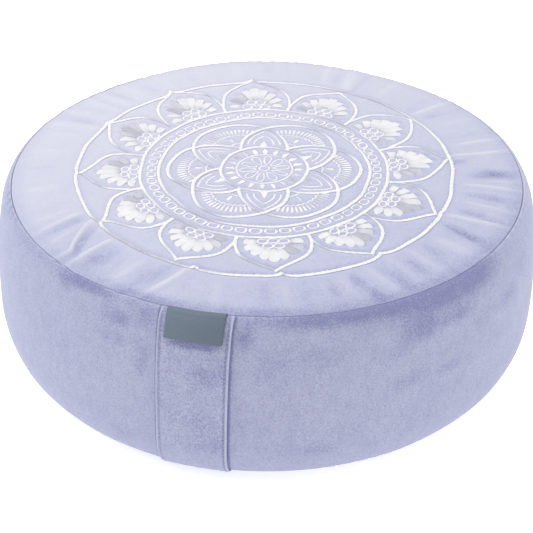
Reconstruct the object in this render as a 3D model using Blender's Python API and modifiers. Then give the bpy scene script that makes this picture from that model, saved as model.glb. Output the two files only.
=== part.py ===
"""Round meditation cushion (zafu) with a flat carry handle and a looped ribbon label.

Metres, +Z up. The origin is on the floor under the middle of the cushion, and the
handle faces -Y. Every piece is first worked out on a perfectly round cushion, and
settle() then gives all of them the same unevenness and puckers, so the gaps between
the pieces stay as they were.
"""

import math
from collections import namedtuple

import bmesh
import bpy

MM = 0.001
QUARTER = math.pi / 2
GAP = 0.3 * MM                      # between neighbouring pieces

# Round form of the filled cushion
SEAM_RADIUS = 187.2 * MM
TOP_SEAM_HEIGHT = 131.0 * MM
WIDEST_RADIUS = 203.0 * MM
WIDEST_HEIGHT = 40.3 * MM
TUCK_RADIUS = 179.0 * MM            # the band's lower curve would meet the floor here
CROWN = 3.0 * MM
CROWN_POWER = 8
UPPER_TURNS = (0.07, 0.13, 0.20, 0.28, 0.38, 0.50, 0.64, 0.80, 1.0)
LOWER_TURNS = (1.18, 1.36, 1.52, 1.66)

# Round panels
PANEL_THICKNESS = 2.0 * MM
PANEL_EDGE_ROUND = 0.8 * MM
BAND_ROLL_IN = 0.9 * MM             # the band's top edge dips this far into the seam
FOOT_RADIUS = 174.0 * MM            # flat stretch that stands on the floor
FOOT_TURN_RADIUS = 181.0 * MM
FOOT_RIM_LIFT = 2.0 * MM            # the bottom panel turns up this much to its seam
PANEL_RINGS = (0.0, 75.0 * MM, 125.0 * MM, 141.0 * MM, 153.0 * MM, 164.0 * MM,
               173.5 * MM, 180.5 * MM)

# Carry handle
HANDLE_ANGLE = math.radians(-90.0)
HANDLE_LEAN = math.radians(1.2)     # its top end lies this much further round
HANDLE_WIDTH = 47.5 * MM
HANDLE_THICKNESS = 2.4 * MM
HANDLE_EDGE_THICKNESS = 3.2 * MM    # where its edges are turned in
HANDLE_END_THICKNESS = 1.0 * MM     # where the seams pinch it
HANDLE_EDGE_SHARE = 0.25            # of its half width
HANDLE_EDGE_BEVEL = 0.7 * MM
HANDLE_FIRST_TURN = 0.05
HANDLE_TAPER_TURNS = 0.22
HANDLE_COLUMNS = 8
HANDLE_ROWS = 26

# Ribbon label, folded into a loop and sewn in over the handle
LABEL_ANGLE = math.radians(-88.9)
LABEL_WIDTH = 38.4 * MM
LABEL_DROP = 18.5 * MM
LABEL_LAYER = 0.6 * MM
LABEL_LAYER_GAP = 0.4 * MM
LABEL_STANDOFF = 1.8 * MM           # its lower edge stands this far off the handle
LABEL_COLUMNS = 6
LABEL_ROWS = 8
LABEL_FOLD_STEPS = 4
LABEL_TURN_STEP = 0.002

# Around the turned pieces: an even division, a closer one behind the handle, and
# one at the middle and both sides of each pucker
EVEN_STEP = math.radians(6.0)
CLOSE_STEP = math.radians(2.4)
CLOSE_STEPS = 4                     # to each side of the handle's middle
LEAST_STEP = math.radians(1.1)

# Puckers of the top panel, between the embroidery and the seam. Angles in degrees
# from +X, radii and rises in millimetres; a rise below zero is a trough.
Pucker = namedtuple("Pucker", "inner_angle outer_angle from_radius half_width rise")
PUCKERS = (
    Pucker(-136.8, -135.0, 140.0, 2.0, 0.9),
    Pucker(-134.8, -132.6, 140.0, 2.4, -1.5),
    Pucker(-131.2, -125.2, 138.0, 2.6, 1.5),
    Pucker(-128.0, -123.4, 138.0, 2.4, -1.7),
    Pucker(-120.2, -120.8, 140.0, 1.9, 1.3),
    Pucker(-116.6, -117.8, 142.0, 3.6, -1.1),
    Pucker(-99.0, -103.4, 140.0, 3.0, -0.9),
    Pucker(-96.4, -102.0, 140.0, 2.2, 1.2),
    Pucker(-18.8, -21.0, 140.0, 2.8, -1.2),
    Pucker(-14.0, -12.0, 140.0, 2.0, 0.9),
    Pucker(3.6, 4.8, 140.0, 2.0, 1.0),
    Pucker(8.4, 11.8, 140.0, 3.2, -1.4),
    Pucker(21.0, 23.0, 140.0, 2.0, 1.0),
    Pucker(49.8, 51.4, 138.0, 2.6, 0.8),
    Pucker(77.8, 80.0, 138.0, 3.2, 0.8),
    Pucker(166.8, 167.6, 142.0, 3.2, -0.9),
)
PUCKER_START_SHARE = 0.3            # of its length, over which a pucker grows
PUCKER_PINCH_FROM = 168.0 * MM      # from here to PUCKER_PINCH_TO it sinks towards the seam
PUCKER_PINCH_TO = 184.0 * MM
PUCKER_AT_SEAM = 0.3                # share of its rise that reaches the seam
PUCKER_FADE = 14.0 * MM             # and dies out this far down the band

# Slow unevenness of the outline: angles in degrees, and millimetres outwards
Swell = namedtuple("Swell", "angle half_width at_seam at_widest")
SWELLS = (
    Swell(112.0, 28.0, 1.5, 0.5),
    Swell(144.0, 26.0, -1.2, -0.5),
    Swell(69.0, 26.0, -1.2, -0.5),
    Swell(-56.0, 36.0, 0.0, -1.5),
)
SWELL_POWER = 4                     # how fast a swell dies out towards the middle

Finish = namedtuple("Finish", "name colour roughness")
VELVET = Finish("lilac_velvet", (0.56, 0.57, 0.80), 0.85)
RIBBON = Finish("grey_ribbon", (0.17, 0.22, 0.25), 0.45)


def hump(distance, half_width):
    """Smooth hump: 1 in the middle, 0 from half_width outwards (a squared cosine)."""
    share = abs(distance) / half_width
    return math.cos(share * QUARTER) ** 2 if share < 1.0 else 0.0


def ramp(value):
    """Smooth step from 0 to 1 as value goes from 0 to 1."""
    value = min(max(value, 0.0), 1.0)
    return value * value * (3.0 - 2.0 * value)


def turned(angle, middle):
    """Turn from middle to angle, between half a turn back and half a turn on."""
    return (angle - middle + math.pi) % math.tau - math.pi


def pucker_rise(radius, angle):
    """How far the puckers lift the top panel at a radius and angle."""
    pinch = ramp((radius - PUCKER_PINCH_FROM) / (PUCKER_PINCH_TO - PUCKER_PINCH_FROM))
    total = 0.0
    for pucker in PUCKERS:
        share = (radius - pucker.from_radius * MM) / (SEAM_RADIUS - pucker.from_radius * MM)
        leaning = min(max(share, 0.0), 1.0) * (pucker.outer_angle - pucker.inner_angle)
        middle = math.radians(pucker.inner_angle + leaning)
        across = hump(turned(angle, middle), math.radians(pucker.half_width))
        total += pucker.rise * MM * across * ramp(share / PUCKER_START_SHARE)
    return total * (1.0 - (1.0 - PUCKER_AT_SEAM) * pinch)


def settle(radius, angle, height):
    """Move a point of the round cushion to where it lies on the uneven one."""
    from_widest = height - WIDEST_HEIGHT
    to_seam = TOP_SEAM_HEIGHT - WIDEST_HEIGHT
    above_widest = ramp(from_widest / to_seam)
    near_widest = hump(from_widest, to_seam if from_widest > 0.0 else WIDEST_HEIGHT)
    out = 0.0
    for swell in SWELLS:
        share = hump(turned(angle, math.radians(swell.angle)), math.radians(swell.half_width))
        out += share * MM * (swell.at_seam * above_widest + swell.at_widest * near_widest)
    near_top = ramp((height - TOP_SEAM_HEIGHT + PUCKER_FADE) / PUCKER_FADE)
    lift = pucker_rise(min(radius, SEAM_RADIUS), angle) * near_top
    radius += out * min(radius / SEAM_RADIUS, 1.0) ** SWELL_POWER
    return radius * math.cos(angle), radius * math.sin(angle), height + lift


def top_height(radius):
    """Height of the round cushion's top: level, then falling to the seam with a high power."""
    return TOP_SEAM_HEIGHT + CROWN * (1.0 - (radius / SEAM_RADIUS) ** CROWN_POWER)


def foot_height(radius):
    """Height of the bottom panel's underside: flat, then rising with the square to its seam."""
    share = max(radius - FOOT_RADIUS, 0.0) / (SEAM_RADIUS - FOOT_RADIUS)
    return FOOT_RIM_LIFT * share ** 2


def last_turn():
    """Turn at which the band's lower curve has come in to the bottom seam."""
    share = (SEAM_RADIUS - TUCK_RADIUS) / (WIDEST_RADIUS - TUCK_RADIUS)
    return 1.0 + math.acos(share) / QUARTER


def band_point(turn, out=0.0):
    """Radius and height on the band, or out metres off it along its normal.

    Two quarter ellipses: turn 0 is the top seam, 1 the widest ring, and last_turn()
    the bottom seam.
    """
    if turn <= 1.0:
        middle, wide, tall = SEAM_RADIUS, WIDEST_RADIUS - SEAM_RADIUS, TOP_SEAM_HEIGHT - WIDEST_HEIGHT
        across, up = math.sin(turn * QUARTER), math.cos(turn * QUARTER)
    else:
        middle, wide, tall = TUCK_RADIUS, WIDEST_RADIUS - TUCK_RADIUS, WIDEST_HEIGHT
        across, up = math.cos((turn - 1.0) * QUARTER), -math.sin((turn - 1.0) * QUARTER)
    normal_out, normal_up = tall * across, wide * up
    length = math.hypot(normal_out, normal_up)
    radius = middle + wide * across + out * normal_out / length
    height = WIDEST_HEIGHT + tall * up + out * normal_up / length
    return radius, height


def stations():
    """Angles around the turned pieces, from 0 up to a full turn."""
    wanted = [HANDLE_ANGLE + step * CLOSE_STEP for step in range(-CLOSE_STEPS, CLOSE_STEPS + 1)]
    for pucker in PUCKERS:
        middle = 0.5 * (pucker.inner_angle + pucker.outer_angle)
        wanted += [math.radians(middle + side * pucker.half_width) for side in (0, -1, 1)]
    wanted += [step * EVEN_STEP for step in range(round(math.tau / EVEN_STEP))]
    kept = []
    for angle in wanted:
        if all(abs(turned(angle, other)) > LEAST_STEP for other in kept):
            kept.append(angle % math.tau)
    return sorted(kept)


def to_station(x, y, angles):
    """Station of a point that lies on one of as many evenly spread angles."""
    even = math.tau / len(angles)
    rounding = 0.1
    return angles[math.floor((math.atan2(y, x) % math.tau) / even + rounding) % len(angles)]


def make_material(finish):
    """Principled material of one plain cloth."""
    material = bpy.data.materials.new(finish.name)
    material.use_nodes = True
    shader = material.node_tree.nodes["Principled BSDF"]
    shader.inputs["Base Color"].default_value = (*finish.colour, 1.0)
    shader.inputs["Roughness"].default_value = finish.roughness
    shader.inputs["Metallic"].default_value = 0.0
    material.diffuse_color = (*finish.colour, 1.0)
    return material


def add_object(name, mesh, collection, material):
    """Put a mesh in the scene under a name, smooth but for its sharp edges."""
    mesh.materials.append(material)
    mesh.shade_smooth()
    mesh.set_sharp_from_angle(angle=math.radians(40.0))
    piece = bpy.data.objects.new(name, mesh)
    collection.objects.link(piece)
    return piece


def cut_alike(piece):
    """Cut four-sided faces across their shorter way, so facing surfaces bend alike."""
    cut = piece.modifiers.new("facets", "TRIANGULATE")
    cut.quad_method = "SHORTEST_DIAGONAL"
    return piece


def mesh_of(shape, name):
    """Face a shape outwards, turn it into a mesh and free it."""
    bmesh.ops.recalc_face_normals(shape, faces=shape.faces)
    closed = not any(edge.is_boundary for edge in shape.edges)
    if closed and shape.calc_volume(signed=True) < 0.0:
        bmesh.ops.reverse_faces(shape, faces=shape.faces)
    mesh = bpy.data.meshes.new(name)
    shape.to_mesh(mesh)
    shape.free()
    return mesh


def turn_profile(name, profile, collection):
    """Turn a profile about Z, one step to a station, and settle the result."""
    angles = stations()
    outline = bpy.data.meshes.new(name + "_profile")
    points = [(radius, 0.0, height) for radius, height in profile]
    outline.from_pydata(points, [(i, i + 1) for i in range(len(points) - 1)], [])
    blank = bpy.data.objects.new(outline.name, outline)
    collection.objects.link(blank)
    screw = blank.modifiers.new("turn", "SCREW")
    screw.steps = screw.render_steps = len(angles)
    screw.use_merge_vertices = True
    screw.merge_threshold = 0.01 * MM
    evaluated = blank.evaluated_get(bpy.context.evaluated_depsgraph_get())
    mesh = bpy.data.meshes.new_from_object(evaluated)
    bpy.data.objects.remove(blank)
    for vertex in mesh.vertices:
        x, y, z = vertex.co
        vertex.co = settle(math.hypot(x, y), to_station(x, y, angles), z)
    mesh.name = name
    return mesh


def make_filled_body(collection, material):
    """Side band with its filling: crowned top, drawn-in seams, bulging side, flat foot."""
    below_panel = PANEL_THICKNESS + GAP
    inside = SEAM_RADIUS + GAP
    foot_rim = foot_height(SEAM_RADIUS)
    profile = [(radius, top_height(radius) - below_panel) for radius in (*PANEL_RINGS, SEAM_RADIUS)]
    profile += [(inside, TOP_SEAM_HEIGHT - below_panel), (inside, TOP_SEAM_HEIGHT - BAND_ROLL_IN)]
    profile += [band_point(turn) for turn in UPPER_TURNS + LOWER_TURNS]
    profile += [(inside, foot_rim + BAND_ROLL_IN), (inside, foot_rim + below_panel)]
    profile += [(radius, foot_height(radius) + below_panel)
                for radius in (FOOT_TURN_RADIUS, FOOT_RADIUS, 0.0)]
    mesh = turn_profile("filled_body", profile, collection)
    return cut_alike(add_object("filled_body", mesh, collection, material))


def make_top_panel(collection, material):
    """Round top panel, one sheet with its puckers and a rounded edge at the seam."""
    round_from = SEAM_RADIUS - PANEL_EDGE_ROUND
    profile = [(radius, top_height(radius)) for radius in PANEL_RINGS]
    profile += [
        (round_from, top_height(round_from)),
        (SEAM_RADIUS, TOP_SEAM_HEIGHT - PANEL_EDGE_ROUND),
        (SEAM_RADIUS, TOP_SEAM_HEIGHT - PANEL_THICKNESS),
    ]
    profile += [(radius, top_height(radius) - PANEL_THICKNESS) for radius in PANEL_RINGS[::-1]]
    mesh = turn_profile("top_panel", profile, collection)
    return cut_alike(add_object("top_panel", mesh, collection, material))


def make_bottom_panel(collection, material):
    """Round bottom panel: a flat disc that turns up to the bottom seam."""
    angles = stations()
    shape = bmesh.new()
    bmesh.ops.create_circle(shape, cap_ends=True, segments=len(angles), radius=FOOT_RADIUS)
    for vertex in shape.verts:
        x, y, _ = vertex.co
        vertex.co = settle(FOOT_RADIUS, to_station(x, y, angles), 0.0)
    for radius in (FOOT_TURN_RADIUS, SEAM_RADIUS):
        rim = [edge for edge in shape.edges if edge.is_boundary]
        grown = bmesh.ops.extrude_edge_only(shape, edges=rim)["geom"]
        for vertex in (item for item in grown if isinstance(item, bmesh.types.BMVert)):
            x, y, _ = vertex.co
            vertex.co = settle(radius, math.atan2(y, x), foot_height(radius))
    mesh = mesh_of(shape, "bottom_panel")
    facing_up = mesh.polygons[0].normal.z > 0.0
    panel = add_object("bottom_panel", mesh, collection, material)
    shell = panel.modifiers.new("thickness", "SOLIDIFY")
    shell.thickness = PANEL_THICKNESS
    shell.offset = 1.0 if facing_up else -1.0
    return panel


def handle_thickness(share, turn):
    """Thickness of the handle: share is 0 in its middle line and 1 at its edges."""
    edge = ramp((abs(share) - 1.0 + HANDLE_EDGE_SHARE) / HANDLE_EDGE_SHARE)
    full = HANDLE_THICKNESS + edge * (HANDLE_EDGE_THICKNESS - HANDLE_THICKNESS)
    from_end = min(turn - HANDLE_FIRST_TURN, last_turn() - turn)
    return HANDLE_END_THICKNESS + ramp(from_end / HANDLE_TAPER_TURNS) * (full - HANDLE_END_THICKNESS)


def make_carry_handle(collection, material):
    """Wide strip of two layers lying on the band from seam to seam, its edges turned in."""
    shape = bmesh.new()
    bmesh.ops.create_grid(shape, x_segments=HANDLE_COLUMNS, y_segments=HANDLE_ROWS, size=0.5)
    grown = bmesh.ops.extrude_face_region(shape, geom=shape.faces[:])["geom"]
    outside = {item for item in grown if isinstance(item, bmesh.types.BMVert)}
    for vertex in shape.verts:
        share, row = 2.0 * vertex.co.x, vertex.co.y + 0.5
        turn = HANDLE_FIRST_TURN + row * (last_turn() - HANDLE_FIRST_TURN)
        out = GAP + (handle_thickness(share, turn) if vertex in outside else 0.0)
        radius, height = band_point(turn, out)
        lean = HANDLE_LEAN * (1.0 - turn / last_turn())
        angle = HANDLE_ANGLE + lean + share * HANDLE_WIDTH / 2 / WIDEST_RADIUS
        vertex.co = settle(radius, angle, height)
    handle = add_object("carry_handle", mesh_of(shape, "carry_handle"), collection, material)
    rounding = handle.modifiers.new("soft_edges", "BEVEL")
    rounding.width = HANDLE_EDGE_BEVEL
    rounding.segments = 1
    rounding.limit_method = "ANGLE"
    rounding.angle_limit = math.radians(60.0)
    return handle


def turn_at_drop(drop):
    """Turn of the band at a distance along it from the handle's top end, by small steps."""
    turn, length = HANDLE_FIRST_TURN, 0.0
    while length < drop:
        length += math.dist(band_point(turn), band_point(turn + LABEL_TURN_STEP))
        turn += LABEL_TURN_STEP
    return turn


def label_route():
    """Drop and height off the handle along the ribbon: down the front, round, up the back."""
    back = LABEL_LAYER / 2
    front = back + LABEL_LAYER + LABEL_LAYER_GAP
    bend = (front - back) / 2
    straight = [LABEL_DROP * row / LABEL_ROWS for row in range(LABEL_ROWS + 1)]
    route = [(drop, front) for drop in straight]
    for step in range(1, LABEL_FOLD_STEPS):
        angle = math.pi * step / LABEL_FOLD_STEPS
        route.append((LABEL_DROP + bend * math.sin(angle), back + bend * (1.0 + math.cos(angle))))
    return route + [(drop, back) for drop in straight[::-1]]


def make_label(collection, material):
    """Ribbon loop hanging over the handle, a little further off it at its lower edge."""
    route = label_route()
    shape = bmesh.new()
    bmesh.ops.create_grid(shape, x_segments=LABEL_COLUMNS, y_segments=len(route) - 1, size=0.5)
    for vertex in shape.verts:
        drop, off = route[round((vertex.co.y + 0.5) * (len(route) - 1))]
        turn = turn_at_drop(min(drop, LABEL_DROP))
        off += LABEL_STANDOFF * (drop / LABEL_DROP) ** 2
        radius, height = band_point(turn, GAP + handle_thickness(0.0, turn) + GAP + off)
        beyond = max(drop - LABEL_DROP, 0.0)
        angle = LABEL_ANGLE + vertex.co.x * LABEL_WIDTH / radius
        vertex.co = settle(radius, angle, height - beyond)
    label = add_object("label", mesh_of(shape, "label"), collection, material)
    shell = label.modifiers.new("ribbon_thickness", "SOLIDIFY")
    shell.thickness = LABEL_LAYER
    shell.offset = 0.0
    return label


def main():
    """Empty the scene and build the cushion."""
    for old in list(bpy.data.objects):
        bpy.data.objects.remove(old)
    collection = bpy.data.collections.new("meditation_cushion")
    bpy.context.scene.collection.children.link(collection)
    velvet, ribbon = make_material(VELVET), make_material(RIBBON)
    make_filled_body(collection, velvet)
    make_top_panel(collection, velvet)
    make_bottom_panel(collection, velvet)
    make_carry_handle(collection, velvet)
    make_label(collection, ribbon)


main()
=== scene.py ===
"""Looks of a round meditation cushion: velvet cover, embroidered top, handle and label.

Sizes are in millimetres and angles in degrees about the axis from +X, except where an
argument is in radians. A mesh is in metres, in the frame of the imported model. Every piece
is first worked out on a perfectly round cushion, and CushionForm.settle() then gives all
of them the same unevenness.
"""

import logging
import math
from collections.abc import Sequence
from dataclasses import dataclass, field
from enum import Enum

import bpy
import numpy as np
from mathutils import Matrix, Vector

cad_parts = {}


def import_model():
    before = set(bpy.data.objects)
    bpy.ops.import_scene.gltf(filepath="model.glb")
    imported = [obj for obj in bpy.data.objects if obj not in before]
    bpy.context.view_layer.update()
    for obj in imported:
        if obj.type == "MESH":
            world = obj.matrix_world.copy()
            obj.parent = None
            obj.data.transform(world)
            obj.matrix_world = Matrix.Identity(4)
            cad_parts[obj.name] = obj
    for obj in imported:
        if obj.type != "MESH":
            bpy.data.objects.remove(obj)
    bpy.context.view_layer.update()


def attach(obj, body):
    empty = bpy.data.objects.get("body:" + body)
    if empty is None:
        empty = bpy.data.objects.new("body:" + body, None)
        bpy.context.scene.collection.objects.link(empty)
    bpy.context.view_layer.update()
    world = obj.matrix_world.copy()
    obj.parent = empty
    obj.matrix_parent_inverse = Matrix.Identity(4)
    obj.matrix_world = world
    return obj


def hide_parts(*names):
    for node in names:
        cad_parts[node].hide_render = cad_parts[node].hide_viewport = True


Array = np.ndarray
joined = np.concatenate
Colour = tuple[float, float, float]
Piece = bpy.types.Object
Material = bpy.types.Material
Socket = bpy.types.NodeSocket
MM = 0.001
FULL_TURN = 2.0 * math.pi
QUARTER = 0.5 * math.pi
LOG = logging.getLogger("cushion")


def hump(distance: Array, half_width: float | Array) -> Array:
    """Squared cosine of the distance: 1 in the middle, 0 from half_width outwards."""
    return np.cos(np.clip(np.abs(distance) / half_width, 0.0, 1.0) * QUARTER) ** 2


def ramp(value: Array) -> Array:
    """Smooth step from 0 to 1 as value goes from 0 to 1 (three squares less two cubes)."""
    value = np.clip(value, 0.0, 1.0)
    return value * value * (3.0 - 2.0 * value)


def turned(angle: Array, middle: float) -> Array:
    """Turn from middle to angle in radians, between half a turn back and half a turn on."""
    return (angle - middle + math.pi) % FULL_TURN - math.pi


def about(angle: Array, middle: float, half_width: float) -> Array:
    """The hump about an angle in radians, from its middle and half width in degrees."""
    return hump(turned(angle, math.radians(middle)), math.radians(half_width))


def unit(vectors: Array) -> Array:
    """The vectors with length 1, along the last axis."""
    return vectors / np.linalg.norm(vectors, axis=-1, keepdims=True)


def polar(radius: Array | float, angle: Array) -> Array:
    """Points at a radius and an angle, with x and y along the last axis."""
    return np.stack([radius * np.cos(angle), radius * np.sin(angle)], -1)


def along_of(path: Array) -> Array:
    """Distance along a path to each of its points, from 0."""
    return joined([[0.0], np.cumsum(np.linalg.norm(np.diff(path, axis=0), axis=1))])


def round_the_axis(count: int) -> Array:
    """Evenly spaced angles of a full turn, without the last one."""
    return np.linspace(0.0, FULL_TURN, count, endpoint=False)


def records(kind: type, *rows: tuple) -> tuple:
    """One record of the kind for each row."""
    return tuple(kind(*row) for row in rows)


# ---- the cushion's form


@dataclass(frozen=True)
class Pucker:
    """A fold of the top panel that runs out to the seam; a rise below zero is a trough.

    It turns from its inner to its outer angle with the power bend of the way out, and
    has turned fully at the share until of that way.
    """

    inner_angle: float
    outer_angle: float
    from_radius: float
    half_width: float
    rise: float
    bend: float = 1.0
    until: float = 1.0


@dataclass(frozen=True)
class Pleat:
    """A short gather of the side band that hangs from the top seam, leaning by some degrees."""

    angle: float
    lean: float
    length: float
    half_width: float
    rise: float


@dataclass(frozen=True)
class Swell:
    """A slow bulge of the outline, in millimetres outwards at the seam and at the widest ring."""

    angle: float
    half_width: float
    at_seam: float
    at_widest: float


MAIN_PUCKERS = records(
    Pucker,
    (-138, -134.6, 142, 1.6, 0.9), (-135.4, -133, 140, 2.2, -1.3),
    (-133.6, -124.2, 138, 1.3, 2, 1.15, 0.75), (-130.4, -122.6, 138, 1.8, -1.9, 1.15, 0.75),
    (-121, -120.7, 142, 1.2, 1.8), (-117, -117.6, 142, 4, -1.2),
    (-100.5, -106, 140, 3.2, -1, 1.4), (-96, -102.2, 140, 1.3, 1.7, 1.5),
    (-18, -21.8, 138, 2, -1.3), (-14.2, -11.4, 136, 1.2, 1.4, 1.8), (3.8, 4.6, 140, 1.2, 1.3),
    (8.8, 12.6, 140, 3.4, -1.3), (21.4, 24.2, 134, 1.2, 1.5, 2.6), (50.4, 51.4, 138, 1.3, 1.2),
    (77.8, 81.2, 138, 2.4, 0.9), (167.6, 168.2, 142, 2.4, -1.2),
)

# Smaller folds, which the solids leave out
FINE_PUCKERS = records(
    Pucker,
    (-131.4, -129.4, 156, 1, 0.6), (-118.2, -118.4, 160, 1.2, -0.7),
    (-107.4, -109.8, 146, 1.5, 0.6), (-112.6, -111.4, 150, 1.6, -0.5),
    (-102.6, -103.4, 142, 1.2, 0.5), (-93.6, -95.2, 146, 1.6, -0.4),
    (-87.2, -86, 150, 1.6, 0.4), (-76, -75.2, 150, 1.8, -0.5), (-71.6, -71, 150, 1.6, 0.4),
    (-66, -68, 146, 2, -0.5), (-61, -60, 150, 1.6, -0.6), (-57.6, -56.6, 148, 1.6, 0.3),
    (-55.2, -52.4, 146, 1.9, -0.5), (-50.4, -47.6, 144, 1.9, 0.6), (-47, -44.4, 146, 1.8, -0.5),
    (-42.6, -41.6, 146, 1.6, 0.4), (-39.6, -38.6, 146, 1.6, -0.5),
    (-36.2, -35.4, 142, 1.5, 0.6), (-31, -33.2, 146, 2, -0.5), (-27, -25.6, 146, 2.6, 0.6),
    (-10.2, -10.8, 142, 1.5, -1), (-5.6, -5.6, 144, 1.2, 0.8), (-1.2, -0.8, 140, 2, -1),
    (6.8, 8.6, 158, 1, 0.5), (27.4, 29.6, 142, 1.3, 1.1), (32.6, 33.6, 144, 1.8, -0.5),
    (40.4, 41.2, 146, 1.8, 0.3), (46.8, 47.2, 140, 1.8, -0.6), (54.2, 55.4, 140, 1.8, -0.5),
    (67, 68, 146, 2, 0.4), (75.4, 76.2, 140, 1.6, -0.9), (82.8, 84, 142, 1.6, -0.8),
    (86.4, 87.8, 144, 1.5, 0.6), (98, 98.8, 148, 2, -0.4), (103.6, 104.8, 156, 2.4, -0.7),
    (113, 113.6, 148, 2, 0.4), (127.4, 127, 148, 2, -0.5), (134.8, 135.2, 144, 1.6, 0.6),
    (139.4, 142.6, 146, 1.7, -1), (144.8, 146.4, 146, 1.3, 0.7), (149.4, 150.4, 144, 1.7, -1),
    (152.6, 153, 144, 1.2, 0.6), (155.4, 155.2, 142, 1.4, -0.8), (157.8, 157.6, 144, 1.2, 0.5),
    (160.6, 161, 146, 1.4, -0.6), (163.8, 164.6, 142, 1.1, 1.3), (171.2, 172, 142, 1.2, 1),
    (174.6, 175.4, 146, 1.6, -0.6), (-173.6, -172.8, 146, 1.8, 0.3),
    (-165, -164.4, 148, 2, -0.4), (-154.2, -153.4, 148, 2, 0.3),
    (-144.6, -143.2, 146, 1.8, -0.5), (-140.8, -139.2, 146, 1.4, 0.4),
)

# Gathers of the band just under the top seam
PLEATS = records(
    Pleat,
    (-157.6, 1, 22, 1, -0.35), (-154.6, 1.4, 28, 1.1, -0.6), (-151.6, 1.6, 32, 1.1, -0.7),
    (-148.8, 1.6, 30, 1, -0.65), (-146, 1.2, 24, 1, -0.5), (-143.2, 0.8, 18, 1, -0.35),
    (-16, -0.6, 12, 0.9, -0.25), (-12.6, -0.8, 14, 0.9, -0.3), (-9.8, -1, 18, 0.9, -0.35),
    (-6.4, -1, 20, 1, -0.35), (-2.2, -0.8, 16, 1, -0.3), (31, 1, 24, 1.1, -0.4),
    (34.4, 1.2, 30, 1.2, -0.5), (38, 0.6, 20, 1, -0.35), (84, -1, 26, 1.2, -0.4),
    (88.2, -1.2, 32, 1.3, -0.5), (92, -0.8, 22, 1.1, -0.35), (133, 1.2, 28, 1.2, -0.45),
    (137.4, 1.2, 24, 1.1, -0.4),
)

SWELLS = records(
    Swell,
    (112, 28, 1.5, 0.5), (144, 26, -1.2, -0.5), (69, 26, -1.2, -0.5), (-56, 36, 0, -1.5),
)

# Lumps of the filling: size, waves round the band, their slant and start, rows down it, start
LUMPS = (
    (0.40, 3, 0, 1.0, 2, 0.4), (0.35, 7, 2, 2.2, 3, 1.1),
    (0.25, 13, -3, 0.0, 4, 0.0), (0.20, 23, 5, 0.7, 5, 2.0),
)


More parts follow.
